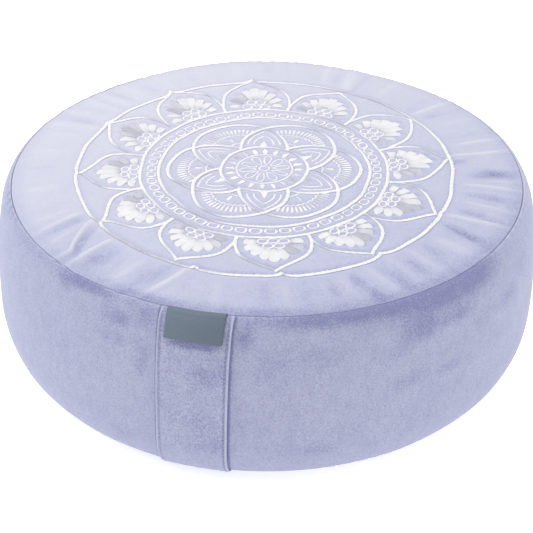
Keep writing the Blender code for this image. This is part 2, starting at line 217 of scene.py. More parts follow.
@dataclass(frozen=True)
class CushionForm:
    """The filled cushion's shape, which every piece of it follows."""

    gap: float = 0.3
    seam_radius: float = 187.2
    top_seam_height: float = 131.0
    widest_radius: float = 203.0
    widest_height: float = 40.3
    tuck_radius: float = 179.0
    crown: float = 3.0
    crown_power: float = 8.0
    panel_thickness: float = 2.0
    foot_radius: float = 174.0
    foot_rim_lift: float = 2.0
    pucker_start_share: float = 0.3
    pinch_from: float = 168.0
    pinch_to: float = 184.0
    pucker_at_seam: float = 0.3
    pucker_fade: float = 14.0
    swell_power: float = 4.0
    wall_lump: float = 0.45
    gather_depth: float = 0.22
    gather_reach: float = 16.0
    gathers: int = 127
    wall_above: float = 92.0
    wall_below: float = 50.0
    seam_hold: float = 4.0

    def pucker_rise(self, radius: Array, angle: Array) -> Array:
        """How far the puckers lift the top panel.

        Each pucker is a squared cosine across and grows along its first stretch; all
        of them sink towards the seam.

        Args:
            radius: Distance from the axis.
            angle: Angle, in radians.

        Returns:
            The rise at each point.
        """
        total = np.zeros(np.broadcast(radius, angle).shape)
        for pucker in MAIN_PUCKERS + FINE_PUCKERS:
            share = (radius - pucker.from_radius) / (self.seam_radius - pucker.from_radius)
            leaning = np.clip(share / pucker.until, 0.0, 1.0) ** pucker.bend
            swing = pucker.outer_angle - pucker.inner_angle
            middle = np.radians(pucker.inner_angle + leaning * swing)
            across = hump(turned(angle, middle), math.radians(pucker.half_width))
            total += pucker.rise * across * ramp(share / self.pucker_start_share)
        pinch = ramp((radius - self.pinch_from) / (self.pinch_to - self.pinch_from))
        return total * (1.0 - (1.0 - self.pucker_at_seam) * pinch)

    def swollen(self, radius: Array, angle: Array, height: Array) -> Array:
        """The radius with the slow unevenness of the outline added.

        Args:
            radius: Distance from the axis.
            angle: Angle, in radians.
            height: Height over the floor.

        Returns:
            The new radius.
        """
        from_widest = height - self.widest_height
        to_seam = self.top_seam_height - self.widest_height
        above = ramp(from_widest / to_seam)
        near = hump(from_widest, np.where(from_widest > 0.0, to_seam, self.widest_height))
        out = np.zeros(np.broadcast(radius, angle, height).shape)
        for swell in SWELLS:
            share = about(angle, swell.angle, swell.half_width)
            out += share * (swell.at_seam * above + swell.at_widest * near)
        return radius + out * np.minimum(radius / self.seam_radius, 1.0) ** self.swell_power

    def settle(self, radius: Array, angle: Array, height: Array) -> Array:
        """Points of the round cushion, moved to where they lie on the uneven one.

        Args:
            radius: Distance from the axis.
            angle: Angle, in radians.
            height: Height over the floor.

        Returns:
            The points, with x, y and z along the last axis.
        """
        radius, angle, height = np.broadcast_arrays(radius, angle, height)
        near_top = ramp((height - self.top_seam_height + self.pucker_fade) / self.pucker_fade)
        lift = self.pucker_rise(np.minimum(radius, self.seam_radius), angle) * near_top
        radius = self.swollen(radius, angle, height)
        return joined([polar(radius, angle), (height + lift)[..., None]], -1)

    def top_height(self, radius: Array) -> Array:
        """Height of the round cushion's top: level, then falling with a high power."""
        share = np.minimum(radius / self.seam_radius, 1.0)
        return self.top_seam_height + self.crown * (1.0 - share**self.crown_power)

    def foot_height(self, radius: Array) -> Array:
        """Height of the bottom panel's underside: flat, then rising with the square."""
        share = np.maximum(radius - self.foot_radius, 0.0) / (self.seam_radius - self.foot_radius)
        return self.foot_rim_lift * share**2

    @property
    def last_turn(self) -> float:
        """Turn at which the band's lower curve has come in to the bottom seam."""
        share = (self.seam_radius - self.tuck_radius) / (self.widest_radius - self.tuck_radius)
        return 1.0 + math.acos(share) / QUARTER

    def pleated(self, turn: Array, angle: Array) -> Array:
        """Sum of the pleats: a squared cosine across each, fading down its length.

        Args:
            turn: Turn down the band.
            angle: Angle, in radians.

        Returns:
            The rise.
        """
        total = np.zeros(np.broadcast(turn, angle).shape)
        from_seam = turn * self.wall_above
        for pleat in PLEATS:
            share = np.clip(from_seam / pleat.length, 0.0, 1.0)
            across = turned(angle, np.radians(pleat.angle + pleat.lean * share))
            fading = ramp(from_seam / self.seam_hold) * (1.0 - ramp(share))
            total += pleat.rise * hump(across, math.radians(pleat.half_width)) * fading
        return total

    def wall_relief(self, turn: Array, angle: Array) -> Array:
        """Soft lumps of the filling and small gathers under the seams, outwards.

        The lumps are products of slow waves round and down the band. The gathers are a
        quicker wave round it, uneven in strength, that dies out away from each seam.

        Args:
            turn: Turn down the band.
            angle: Angle, in radians.

        Returns:
            How far it stands out.
        """
        down = turn / self.last_turn
        lumps = sum(
            size * np.sin(waves * angle + slant * down + at) * np.sin(rows * math.pi * down + first)
            for size, waves, slant, at, rows, first in LUMPS
        )
        from_seam = np.minimum(turn * self.wall_above, (self.last_turn - turn) * self.wall_below)
        strength = 0.5 + 0.5 * np.sin(11.0 * angle + 1.3) * np.sin(4.0 * angle + 0.4)
        sway = 2.0 * np.sin(9.0 * angle) + 0.05 * from_seam
        gathers = strength * np.sin(self.gathers * angle + sway)
        near_seam = 1.0 - ramp(from_seam / self.gather_reach)
        held = ramp(from_seam / self.seam_hold)
        relief = self.wall_lump * lumps * held + self.gather_depth * gathers * near_seam * held
        return relief + self.pleated(turn, angle)

    def band_section(self, turn: Array, out: Array) -> tuple[Array, Array]:
        """Radius and height on the band's section, or out millimetres off it.

        Two quarter ellipses: turn 0 is the top seam, 1 the widest ring and last_turn
        the bottom seam.

        Args:
            turn: Turn down the band.
            out: Distance off it, outwards.

        Returns:
            The radius and the height.
        """
        above = turn <= 1.0
        middle = np.where(above, self.seam_radius, self.tuck_radius)
        wide = self.widest_radius - middle
        tall = np.where(above, self.top_seam_height - self.widest_height, self.widest_height)
        across = np.where(above, np.sin(turn * QUARTER), np.cos((turn - 1.0) * QUARTER))
        rise = np.where(above, np.cos(turn * QUARTER), -np.sin((turn - 1.0) * QUARTER))
        length = np.hypot(tall * across, wide * rise)
        radius = middle + wide * across + out * tall * across / length
        height = self.widest_height + tall * rise + out * wide * rise / length
        return radius, height

    def band(self, turn: Array, angle: Array, out: Array = 0.0) -> Array:
        """Points on the finished band, or out millimetres off it, with its relief.

        Args:
            turn: Turn down the band.
            angle: Angle, in radians.
            out: Distance off it, outwards.

        Returns:
            The points.
        """
        turn, angle, out = np.broadcast_arrays(turn, angle, out)
        radius, height = self.band_section(turn, out + self.wall_relief(turn, angle))
        return self.settle(radius, angle, height)

    def turn_at(self, drop: Array, start: float) -> Array:
        """Turn that lies a distance down the band from the turn start.

        Args:
            drop: Distance down the band.
            start: The turn that it starts from.

        Returns:
            The turn.
        """
        turns = np.linspace(start, self.last_turn, 1200)
        radius, height = self.band_section(turns, 0.0)
        return np.interp(drop, along_of(np.stack([radius, height], -1)), turns)


FORM = CushionForm()


# ---- meshes


@dataclass
class Surface:
    """Collects closed shells, as whole arrays, and makes one mesh of them."""

    points: list[Array] = field(default_factory=list)
    corners: list[Array] = field(default_factory=list)
    sides: list[Array] = field(default_factory=list)
    uvs: list[Array] = field(default_factory=list)
    marks: dict[str, list[Array]] = field(default_factory=dict)
    count: int = 0

    def add(self, points: Array, faces: Sequence[tuple[Array, Array]], **marks: Array) -> None:
        """Add points and the faces between them.

        Args:
            points: In millimetres, shape (n, 3).
            faces: For each number of sides, point numbers (m, sides) and UV (m, sides, 2).
            marks: Numbers that each point carries, by name.
        """
        self.points.append(points)
        for corners, uv in faces:
            self.corners.append((corners + self.count).ravel())
            self.sides.append(np.full(len(corners), corners.shape[1]))
            self.uvs.append(uv.reshape(-1, 2))
        for name, values in marks.items():
            self.marks.setdefault(name, []).append(np.broadcast_to(values, len(points)))
        self.count += len(points)

    @staticmethod
    def corner_uv(*pairs: tuple[Array, Array]) -> Array:
        """UV of the four-sided faces, from the U and V of each corner in turn."""
        return np.stack([np.stack(pair, -1) for pair in pairs], axis=2).reshape(-1, 4, 2)

    def add_tube(
        self, rings: Array, along: Array, across: Array, closed: bool, **marks: Array
    ) -> None:
        """Add a tube of closed rings; an open one gets a flat face at each end.

        Args:
            rings: Shape (rings, points, 3); the points run clockwise seen from the end.
            along: The U of each ring, with one more for a closed tube.
            across: The V of each point of a ring.
            closed: True if the last ring joins the first.
            marks: A number for each ring, by name.
        """
        count, size = rings.shape[:2]
        ring = np.arange(count if closed else count - 1)[:, None]
        spot = np.arange(size)[None, :]
        after, beside = (ring + 1) % count, (spot + 1) % size
        this, other = ring * size, after * size
        quads = np.stack([this + spot, this + beside, other + beside, other + spot], -1)
        here, ahead = along[ring] + 0.0 * spot, along[ring + 1] + 0.0 * spot
        near, far = across[spot] + 0.0 * ring, across[beside] + 0.0 * ring
        uv = self.corner_uv((here, near), (here, far), (ahead, far), (ahead, near))
        faces = [(quads.reshape(-1, 4), uv)]
        if not closed:
            ends = np.stack([np.arange(size)[::-1], (count - 1) * size + np.arange(size)])
            first = np.stack([np.full(size, along[0]), across[::-1]], -1)
            last = np.stack([np.full(size, along[-1]), across], -1)
            faces.append((ends, np.stack([first, last])))
        self.add(rings.reshape(-1, 3), faces, **{k: np.repeat(v, size) for k, v in marks.items()})

    def add_turned(self, rows: Array, poles: Array, **marks: Array) -> None:
        """Add a shell that closes at a pole above and a pole below.

        Args:
            rows: Shape (rows, angles, 3), from the upper pole outwards and round to the lower.
            poles: The two poles, shape (2, 3).
            marks: For each point of the rows and then for the two poles, by name.
        """
        count, size = rows.shape[:2]
        row, spot = np.arange(count - 1)[:, None], np.arange(size)[None, :]
        beside = (spot + 1) % size
        here, below = row * size, (row + 1) * size
        quads = np.stack([here + spot, below + spot, below + beside, here + beside], -1)
        u, v = spot / size + 0.0 * row, row / count + 0.0 * spot
        du, dv = 1.0 / size, 1.0 / count
        uv = self.corner_uv((u, v), (u, v + dv), (u + du, v + dv), (u + du, v))
        first, last, top = np.arange(size), (count - 1) * size + np.arange(size), count * size
        caps = joined([
            np.stack([np.full(size, top), first, np.roll(first, -1)], -1),
            np.stack([np.full(size, top + 1), np.roll(last, -1), last], -1),
        ])
        self.add(
            joined([rows.reshape(-1, 3), poles]),
            [(quads.reshape(-1, 4), uv), (caps, np.zeros((len(caps), 3, 2)))],
            **marks,
        )

    def build(self, name: str, material: Material) -> Piece:
        """Make the mesh and its object, smooth, with its UV map and marks.

        Args:
            name: The object's name.
            material: Its material.

        Returns:
            The object, at the origin.
        """
        points = joined(self.points) * MM
        corners, sides = joined(self.corners), joined(self.sides)
        mesh = bpy.data.meshes.new(name)
        mesh.vertices.add(len(points))
        mesh.vertices.foreach_set("co", points.astype(np.float32).ravel())
        mesh.loops.add(len(corners))
        mesh.loops.foreach_set("vertex_index", corners.astype(np.int32))
        mesh.polygons.add(len(sides))
        starts = joined([[0], np.cumsum(sides)[:-1]])
        mesh.polygons.foreach_set("loop_start", starts.astype(np.int32))
        mesh.update(calc_edges=True)
        layer = mesh.uv_layers.new(name="UVMap")
        layer.uv.foreach_set("vector", joined(self.uvs).astype(np.float32).ravel())
        for mark, values in self.marks.items():
            attribute = mesh.attributes.new(mark, "FLOAT", "POINT")
            attribute.data.foreach_set("value", joined(values).astype(np.float32))
        mesh.shade_smooth()
        mesh.materials.append(material)
        piece = bpy.data.objects.new(name, mesh)
        bpy.context.scene.collection.objects.link(piece)
        LOG.info("%s: %d triangles", name, int((sides - 2).sum()))
        return piece


def evenly(path: Array, spacing: float, closed: bool) -> Array:
    """The path again, with its points about spacing apart.

    Args:
        path: Points along it, shape (n, dimensions).
        spacing: The distance wanted.
        closed: True if the last point joins the first.

    Returns:
        The new points, without the first one again at the end of a closed path.
    """
    line = joined([path, path[:1]]) if closed else path
    along = along_of(line)
    steps = max(4, math.ceil(along[-1] / spacing))
    at = np.linspace(0.0, along[-1], steps + 1)[: steps if closed else steps + 1]
    return np.stack([np.interp(at, along, line[:, k]) for k in range(line.shape[1])], axis=1)


def directions(path: Array, closed: bool) -> Array:
    """Unit direction of the path at each of its points, from its neighbours.

    Args:
        path: Points along it.
        closed: True if the last joins the first.

    Returns:
        The unit vectors.
    """
    if closed:
        return unit(np.roll(path, -1, axis=0) - np.roll(path, 1, axis=0))
    return unit(np.gradient(path, axis=0))


# ---- embroidery layout


class Weight(Enum):
    """Width and rise of a line of satin stitch."""

    HEAVY = (3.0, 1.2)
    MAIN = (2.7, 1.1)
    FINE = (1.6, 0.65)
    HAIR = (1.3, 0.55)

    @property
    def width(self) -> float:
        """Width over the stitches."""
        return self.value[0]

    @property
    def rise(self) -> float:
        """Height over the cloth."""
        return self.value[1]


@dataclass(frozen=True)
class Strand:
    """A line or drop of satin stitch: its middle, its width and rise along it."""

    path: Array
    width: Array
    rise: Array
    closed: bool = False
    # How dull the thread is, with painted shade where it lies away from its sheen
    dull: Array | float = 0.0


Groups = dict[str, list[Strand]]


def line(path: Array, weight: Weight, closed: bool = False, spacing: float = 0.9) -> Strand:
    """A line of even width along a path, rounded at its ends.

    Args:
        path: Points of its middle, shape (n, 2).
        weight: How wide and high it is.
        closed: True for a ring.
        spacing: The distance between its sections.

    Returns:
        The strand.
    """
    path = evenly(path, spacing, closed)
    if closed:
        full = np.ones(len(path))
    else:
        along = along_of(path)
        from_end = np.minimum(along, along[-1] - along) / (0.5 * weight.width)
        full = np.sqrt(1.0 - (1.0 - np.clip(from_end, 0.04, 1.0)) ** 2)
    return Strand(path, weight.width * full, weight.rise * full, closed)


def drop(
    start: Array, end: Array, start_width: float, width: float, rise: float, dull: float = 0.0
) -> Strand:
    """A filled drop from its narrow start to its round end.

    Its width grows with the root of the way along it and ends in a half circle.

    Args:
        start: The narrow end, a point of two numbers.
        end: The round end.
        start_width: Width at the narrow end.
        width: The greatest width.
        rise: Height over the cloth where it is widest.
        dull: How dull its thread is, besides at its narrow end.

    Returns:
        The strand.
    """
    length = float(np.linalg.norm(end - start))
    tip = min(0.5 * width / length, 0.5)
    rounded = tip * np.sin(np.linspace(0.25, 0.99, 5) * QUARTER)
    share = joined([np.linspace(0.0, 1.0 - tip, 6), 1.0 - tip + rounded])
    body = start_width + (width - start_width) * np.minimum(share / (1.0 - tip), 1.0) ** 0.75
    beyond = np.maximum(share - 1.0 + tip, 0.0) / tip
    full = np.sqrt(np.clip(1.0 - beyond**2, 0.02, 1.0))
    full[0] *= 0.5
    dull = dull + 0.40 * (1.0 - ramp(share / 0.45))
    path = start + share[:, None] * (end - start)
    return Strand(path, body * full, rise * full * np.sqrt(body / width), dull=dull)


def bezier(*controls: tuple[float, float], count: int = 24) -> Array:
    """Points on the cubic curve of four control points.

    Args:
        controls: The four points.
        count: How many points are wanted.

    Returns:
        The points.
    """
    t = np.linspace(0.0, 1.0, count)[:, None]
    a, b, c, d = (np.array(p, float) for p in controls)
    return a * (1 - t) ** 3 + 3 * b * t * (1 - t) ** 2 + 3 * c * t**2 * (1 - t) + d * t**3


def arc(
    centre: tuple[float, float], radius: float, start: float, end: float, count: int = 48
) -> Array:
    """Points on a circle's arc between two angles in degrees."""
    return np.array(centre) + polar(radius, np.radians(np.linspace(start, end, count)))


def rotated(path: Array, angle: float) -> Array:
    """The points turned about the middle, by degrees."""
    c, s = math.cos(math.radians(angle)), math.sin(math.radians(angle))
    return path @ np.array([[c, s], [-s, c]])


def ring_of(motif: Sequence[Strand], count: int, first: float) -> list[Strand]:
    """Copies of a motif round the middle, the first one at an angle in degrees.

    Args:
        motif: Strands about +X.
        count: How many copies.
        first: Angle of the first.

    Returns:
        The strands.
    """
    return [
        Strand(rotated(s.path, first + 360.0 * k / count), s.width, s.rise, s.closed, s.dull)
        for k in range(count)
        for s in motif
    ]


def mirrored(path: Array) -> Array:
    """The points on the other side of the motif's axis."""
    return path * np.array([1.0, -1.0])


@dataclass(frozen=True)
class Give:
    """How the cloth gave at a petal: its turn, and how far its tip and the ring reach.

    The ring has a corner some degrees aside of the tip, and its own reach halfway on.
    """

    turn: float
    tip: float
    corner: float
    ring: float
    aside: float = 0.0


CLOTH_GIVE = records(
    Give,
    (3.2, 139.2, 140.2, 141.8), (1.6, 142.4, 143.2, 143.8), (0.4, 142.8, 145.4, 146.2),
    (0.2, 150.8, 151.7, 146.4), (-2.8, 150.3, 151.1, 142.5), (-4, 142.4, 143.1, 138.9),
    (-0.4, 135.8, 137.2, 137.5), (0.5, 134.4, 135.2, 138.3), (1.2, 136.6, 139.6, 141.3),
    (-0.2, 137, 138.8, 142.6, 1.6), (-1.2, 136, 137.4, 140.4, 2.2),
    (-1, 136.2, 137.6, 138.1, 1),
)


@dataclass(frozen=True)
class Mandala:
    """A traditional lotus rosette: a motif's own axis is +X, and the middle is at zero."""

    centre: tuple[float, float] = (-1.3, -4.2)
    axis: float = 14.25
    petal_turn: float = 3.75
    petals: int = 12
    lobes: int = 6
    tip_radius: float = 140.0
    petal_foot: float = 90.0
    petal_waist: float = 100.0
    petal_tuck: float = 2.5
    petal_half: float = 26.0
    band_outer: float = 92.3
    band_inner: float = 78.6
    links: int = 54
    lobe_offset: float = 36.2
    lobe_radius: float = 35.5
    hub_radius: float = 32.5
    eye_radius: float = 21.0
    beads: int = 20
    spokes: int = 10
    bright_way: float = -25.0
    corner_reach: float = 0.05
    nick_angle: float = 250.6
    nick_half: float = 1.3
    nick_depth: float = 2.8
    scale_half: tuple[float, float] = (3.1, 3.4)
    fan_root: float = 4.6
    fan_width: float = 8.9
    fan_narrowing: float = 0.4
    fan_rise: float = 1.1
    fan_dull: float = 0.18
    link_inset: float = 1.4
    link_up: float = 3.0
    link_aside: float = 3.55
    link_width: float = 1.1
    link_rise: float = 0.45
    tick_pitch: float = 6.9
    tick_reach: tuple[float, float] = (21.6, 29.0)
    scallop_radius: float = 19.6
    scallop_depth: float = 1.2
    scallop_reach: float = 47.0
    inner_radius: float = 7.3
    inner_reach: float = 52.0
    bead_ends: tuple[float, float] = (29.8, 22.4)
    first_bead: float = 15.7
    first_spoke: float = 9.0
    spoke_middle: float = 12.3
    spoke_half: float = 6.4
    spoke_side: float = 2.5

    # How the cloth gave and was drawn in, and how the needle wandered
    give_from: float = 84.0
    give_over: float = 50.0
    wide: float = 1.007
    oval: float = 0.017
    band_oval: float = 0.0065
    band_from: float = 66.0
    band_over: float = 10.0
    drawn_angle: float = 212.0
    drawn_half: float = 24.0
    drawn_radius: float = 64.0
    drawn_reach: float = 24.0
    drawn_in: float = 3.0
    wander: float = 0.35
    waver: float = 0.25

    # How the thread spreads, stands proud and is pressed down, and how much painted shade takes the
    # place of the sheen that it loses
    slow_unevenness: float = 0.14
    quick_unevenness: float = 0.07
    spread: float = 0.4
    proud: float = 1.1
    pressed: float = 0.3
    dulling: float = 0.9

    def outer_ring(self) -> list[Strand]:
        """Ring round the petals, with a corner at each tip.

        Its reach goes smoothly from each halfway place to the next. Towards a tip it
        turns to the tip's corner, with the exponential of the distance. It has one nick
        inwards. The cloth's reach is taken off first, because laid() puts it on.

        Returns:
            The strands.
        """
        angle = round_the_axis(1440)
        place = ((angle - math.radians(self.petal_turn)) / (FULL_TURN / self.petals)) % self.petals
        rings = np.array([give.ring for give in CLOTH_GIVE])
        corners = np.array([give.corner for give in CLOTH_GIVE])
        before = np.floor(place - 0.5).astype(int)
        share = ramp(place - 0.5 - before)
        radius = rings[before] * (1.0 - share) + rings[(before + 1) % self.petals] * share
        tip = np.rint(place).astype(int) % self.petals
        aside = np.radians([give.aside for give in CLOTH_GIVE])
        pitch = FULL_TURN / self.petals
        away = turned(angle, math.radians(self.petal_turn) + tip * pitch + aside[tip]) / pitch
        radius = radius + (corners[tip] - radius) * np.exp(-np.abs(away) / self.corner_reach)
        radius = radius - self.nick_depth * about(angle, self.nick_angle, self.nick_half)
        return [line(polar(radius / self.give_at(angle)[0], angle), Weight.HEAVY, closed=True)]

    def petal_outlines(self) -> list[Strand]:
        """Pointed petals that widen quickly from the tip and stand side by side at their feet.

        Above the waist, half their width is petal_half times (1 less the way up to the
        power 3.4) to the power 1.7. Below it they draw in with the square of the way.

        Returns:
            The strands.
        """
        share = np.sin(np.linspace(0.0, 1.0, 70) * QUARTER)
        out = self.petal_foot + share * (self.tip_radius - self.petal_foot)
        up = np.clip((out - self.petal_waist) / (self.tip_radius - self.petal_waist), 0.0, 1.0)
        down = np.maximum(self.petal_waist - out, 0.0) / (self.petal_waist - self.petal_foot)
        half = self.petal_half * (1.0 - up**3.4) ** 1.7 - self.petal_tuck * down**2
        side = np.stack([out, half], -1)
        motif = [line(side, Weight.MAIN), line(mirrored(side), Weight.MAIN)]
        return ring_of(motif, self.petals, self.petal_turn)

    def petal_scales(self) -> list[Strand]:
        """Five round scales at the foot of each petal, three below and two above.

        Returns:
            The strands.
        """
        oval = arc((0.0, 0.0), 1.0, 0.0, 345.0, 30) * np.array(self.scale_half)
        places = ((97.2, -6.9), (96.7, 0.0), (97.2, 6.9), (103.9, -3.6), (103.9, 3.6))
        motif = [line(oval + np.array(place), Weight.FINE, closed=True) for place in places]
        return ring_of(motif, self.petals, self.petal_turn)

    def petal_fans(self) -> list[Strand]:
        """Nine satin drops side by side, fanned out round the scales of each petal.

        Returns:
            The strands.
        """
        starts = ((107.6, 0.0), (107.0, 3.6), (105.2, 7.0), (102.0, 9.8), (97.2, 10.9))
        tips = ((127.0, 0.0), (123.6, 7.8), (117.0, 15.0), (108.8, 20.0), (98.4, 20.6))
        motif = []
        for step, (start, tip) in enumerate(zip(np.array(starts), np.array(tips))):
            width = self.fan_width - self.fan_narrowing * step
            for side in (1.0, -1.0) if step else (1.0,):
                ends = start * np.array([1.0, side]), tip * np.array([1.0, side])
                motif.append(drop(*ends, self.fan_root, width, self.fan_rise, self.fan_dull))
        return ring_of(motif, self.petals, self.petal_turn)

    def band_rings(self) -> list[Strand]:
        """The two plain rings of the band.

        Returns:
            The strands.
        """
        radii = (self.band_outer, self.band_inner)
        rings = [arc((0.0, 0.0), radius, 0.0, 359.5, 720) for radius in radii]
        return [line(ring, Weight.MAIN, closed=True) for ring in rings]

    def band_links(self) -> list[Strand]:
        """Rounded links in a chain between the two rings, bolder on their two sides.

        Each is an oval made squarer: powers below 1 of the sine and of the cosine. It
        gets bolder with the third power of the way to its side.

        Returns:
            The strands.
        """
        angle = round_the_axis(40)
        middle = 0.5 * (self.band_outer + self.band_inner) - self.link_inset
        up = self.link_up * np.sign(np.sin(angle)) * np.abs(np.sin(angle)) ** 0.8
        aside = self.link_aside * np.sign(np.cos(angle)) * np.abs(np.cos(angle)) ** 0.7
        path = evenly(np.stack([middle + up, aside], -1), 0.9, closed=True)
        bold = np.clip(np.abs(path[:, 1]) / self.link_aside, 0.0, 1.0) ** 3
        width, rise = self.link_width, self.link_rise
        link = Strand(path, width + width * bold, rise + rise * bold, True)
        return ring_of([link], self.links, 0.0)

    def lobe_outlines(self) -> list[Strand]:
        """Six circles that overlap in pointed petals, cut off by the hub.

        Returns:
            The strands.
        """
        offset, radius = self.lobe_offset, self.lobe_radius
        share = (self.hub_radius**2 - offset**2 - radius**2) / (2.0 * offset * radius)
        reach = math.degrees(math.acos(share))
        circle = arc((offset, 0.0), radius, -reach, reach, 160)
        return ring_of([line(circle, Weight.HEAVY)], self.lobes, 0.0)

    def lobe_details(self) -> list[Strand]:
        """Ticks, a scalloped arc, an inner arc and a drop in each lobe.

        Returns:
            The strands.
        """
        middle = (self.lobe_offset, 0.0)
        motif = []
        for tick in range(-7, 8):
            at = self.tick_pitch * tick
            foot, head = (arc(middle, reach, at, at, 1)[0] for reach in self.tick_reach)
            motif.append(drop(foot, head, 1.3, 2.2, 0.7))
        angle = np.radians(np.linspace(-self.scallop_reach, self.scallop_reach, 120))
        wave = self.scallop_radius + self.scallop_depth * np.abs(np.sin(angle * 15.0))
        motif.append(line(np.array(middle) + polar(wave, angle), Weight.HAIR, spacing=0.7))
        inner = arc(middle, self.inner_radius, -self.inner_reach, self.inner_reach)
        motif.append(line(inner, Weight.HAIR))
        motif.append(drop(np.array([45.0, 0.0]), np.array([52.0, 0.0]), 1.0, 3.2, 0.8))
        return ring_of(motif, self.lobes, 0.0)

    def leaf_details(self) -> list[Strand]:
        """Two outlines and a filled wedge nested in each pointed petal between the lobes.

        Returns:
            The strands.
        """
        large = bezier((57.2, 0.0), (53.2, 5.2), (46.0, 10.8), (36.4, 12.0))
        small = bezier((49.4, 0.0), (46.4, 4.0), (42.0, 6.8), (36.0, 7.4))
        sides = (large, mirrored(large), small, mirrored(small))
        motif = [line(side, Weight.FINE) for side in sides]
        wedge = np.linspace(33.4, 41.6, 9)
        width = np.linspace(7.4, 0.6, 9)
        motif.append(Strand(np.stack([wedge, 0.0 * wedge], -1), width, 0.35 + 0.09 * width))
        return ring_of(motif, self.lobes, 30.0)

    def hub(self) -> list[Strand]:
        """Two rings with a circle of beads between them.

        Returns:
            The strands.
        """
        foot, head = (np.array([end, 0.0]) for end in self.bead_ends)
        bead = drop(foot, head, 1.2, 4.4, 1.0)
        return [
            line(arc((0.0, 0.0), self.hub_radius, 0.0, 359.0, 360), Weight.MAIN, closed=True),
            line(arc((0.0, 0.0), self.eye_radius, 0.0, 359.0, 360), Weight.FINE, closed=True),
            *ring_of([bead], self.beads, self.first_bead),
        ]

    def star(self) -> list[Strand]:
        """Slim loops round a small eye, each an oval that is narrower at its inner end.

        Returns:
            The strands.
        """
        share = round_the_axis(60)
        out = self.spoke_middle - self.spoke_half * np.cos(share)
        aside = self.spoke_side * np.sin(share) * (1.0 - 0.35 * np.cos(share))
        spoke = line(np.stack([out, aside], -1), Weight.HAIR, closed=True)
        eye = line(arc((0.0, 0.0), 3.4, 0.0, 350.0, 36), Weight.FINE, closed=True, spacing=0.7)
        return [eye, *ring_of([spoke], self.spokes, self.first_spoke)]

    def give_at(self, angle: Array) -> tuple[Array, Array]:
        """Share by which the cloth gave outwards, and its turn, blended from petal to petal.

        Args:
            angle: Angle about the middle, in radians.

        Returns:
            The share and the turn.
        """
        pitch = FULL_TURN / self.petals
        reach, turn = np.zeros(len(angle)), np.zeros(len(angle))
        for k, give in enumerate(CLOTH_GIVE):
            near = hump(turned(angle, math.radians(self.petal_turn) + k * pitch), pitch)
            reach += near * give.tip / self.tip_radius
            turn += near * math.radians(give.turn)
        return reach, turn

    def laid(self, path: Array) -> Array:
        """Places of a path on the cushion.

        Inside, the cloth gives a little more one way than the other, most of all in the
        band, and it is drawn in at one place. Outside, it gives as the table says, blended
        from petal to petal. The needle wanders a little everywhere.

        Args:
            path: Points about the rosette's middle.

        Returns:
            The same points in the cushion's frame.
        """
        radius, angle = np.hypot(path[:, 0], path[:, 1]), np.arctan2(path[:, 1], path[:, 0])
        reach, turn = self.give_at(angle)
        outer = ramp((radius - self.give_from) / self.give_over)
        oval = self.wide - self.oval * np.cos(2.0 * angle)
        in_band = ramp((radius - self.band_from) / self.band_over)
        oval = oval + self.band_oval * in_band * (1.0 - np.cos(2.0 * angle))
        drawn = about(angle, self.drawn_angle, self.drawn_half)
        drawn = drawn * hump(radius - self.drawn_radius, self.drawn_reach)
        radius = radius * (oval + outer * (reach - oval)) - self.drawn_in * drawn
        angle = angle + turn * outer
        spot = polar(radius, angle)
        x, y = spot[:, 0], spot[:, 1]
        wander = np.stack([
            self.wander * np.sin(y / 9.0 + 0.6) + self.waver * np.sin(x / 5.2 + y / 7.0),
            self.wander * np.sin(x / 8.0 + 2.1) + self.waver * np.sin(y / 6.1 - x / 7.7),
        ], -1)
        return rotated(spot + wander, self.axis) + np.array(self.centre)

    def groups(self) -> Groups:
        """The rosette's strands on the cushion, by the piece that they go into.

        Returns:
            The strands.
        """
        groups = {
            "embroidered_petals": self.outer_ring() + self.petal_outlines() + self.petal_scales(),
            "embroidered_fans": self.petal_fans(),
            "embroidered_band": self.band_rings() + self.band_links(),
            "embroidered_flower": self.lobe_outlines() + self.lobe_details() + self.leaf_details(),
            "embroidered_hub": self.hub() + self.star(),
        }
        return {name: [self.sewn(strand) for strand in strands] for name, strands in groups.items()}

    def sewn(self, strand: Strand) -> Strand:
        """The strand on the cushion, as sewing leaves it.

        Threads that lie one way across the cloth spread and shine. Those that lie the
        other way are drawn thin, by the fourth power of the sine of the turn between, and
        the last of them get painted shade for the sheen they lose, by its sixteenth power.

        Args:
            strand: The strand about the rosette's middle.

        Returns:
            The strand in the cushion's frame.
        """
        path = self.laid(strand.path)
        way = directions(path, strand.closed)
        thread = np.arctan2(way[:, 0], -way[:, 1])
        lies = np.sin(thread - math.radians(self.bright_way)) ** 2
        bold = np.minimum(strand.width / Weight.MAIN.width, 1.0) ** 2
        x, y = path[:, 0], path[:, 1]
        uneven = 1.0 + self.slow_unevenness * np.sin(1.3 * x + 0.7) * np.sin(1.1 * y + 0.3)
        uneven = uneven + self.quick_unevenness * np.sin(2.1 * x + 1.7 * y)
        width = (strand.width + (self.spread - lies**2) * bold) * uneven
        rise = strand.rise * (self.proud - self.pressed * lies)
        # Painted shade where the thread lies away from its sheen
        dull = strand.dull + self.dulling * lies**8 * (0.3 + 0.7 * bold)
        dull = np.clip(dull, 0.0, 1.0)
        return Strand(path, width, rise, strand.closed, dull)


# ---- the top cloth's surface


@dataclass(frozen=True)
class Crease:
    """A soft ridge or trough between two points of the top, in the cushion's frame."""

    start: tuple[float, float]
    end: tuple[float, float]
    half_width: float
    rise: float


CREASES = records(
    Crease,
    ((-60, -56), (-44, -46), 9, -1.1), ((-62, -46), (-50, -36), 6, 0.6),
    ((48, 50), (76, 64), 3.6, 0.6), ((50, 56), (70, 74), 4, -0.6), ((52, 44), (80, 52), 4, -0.6),
)


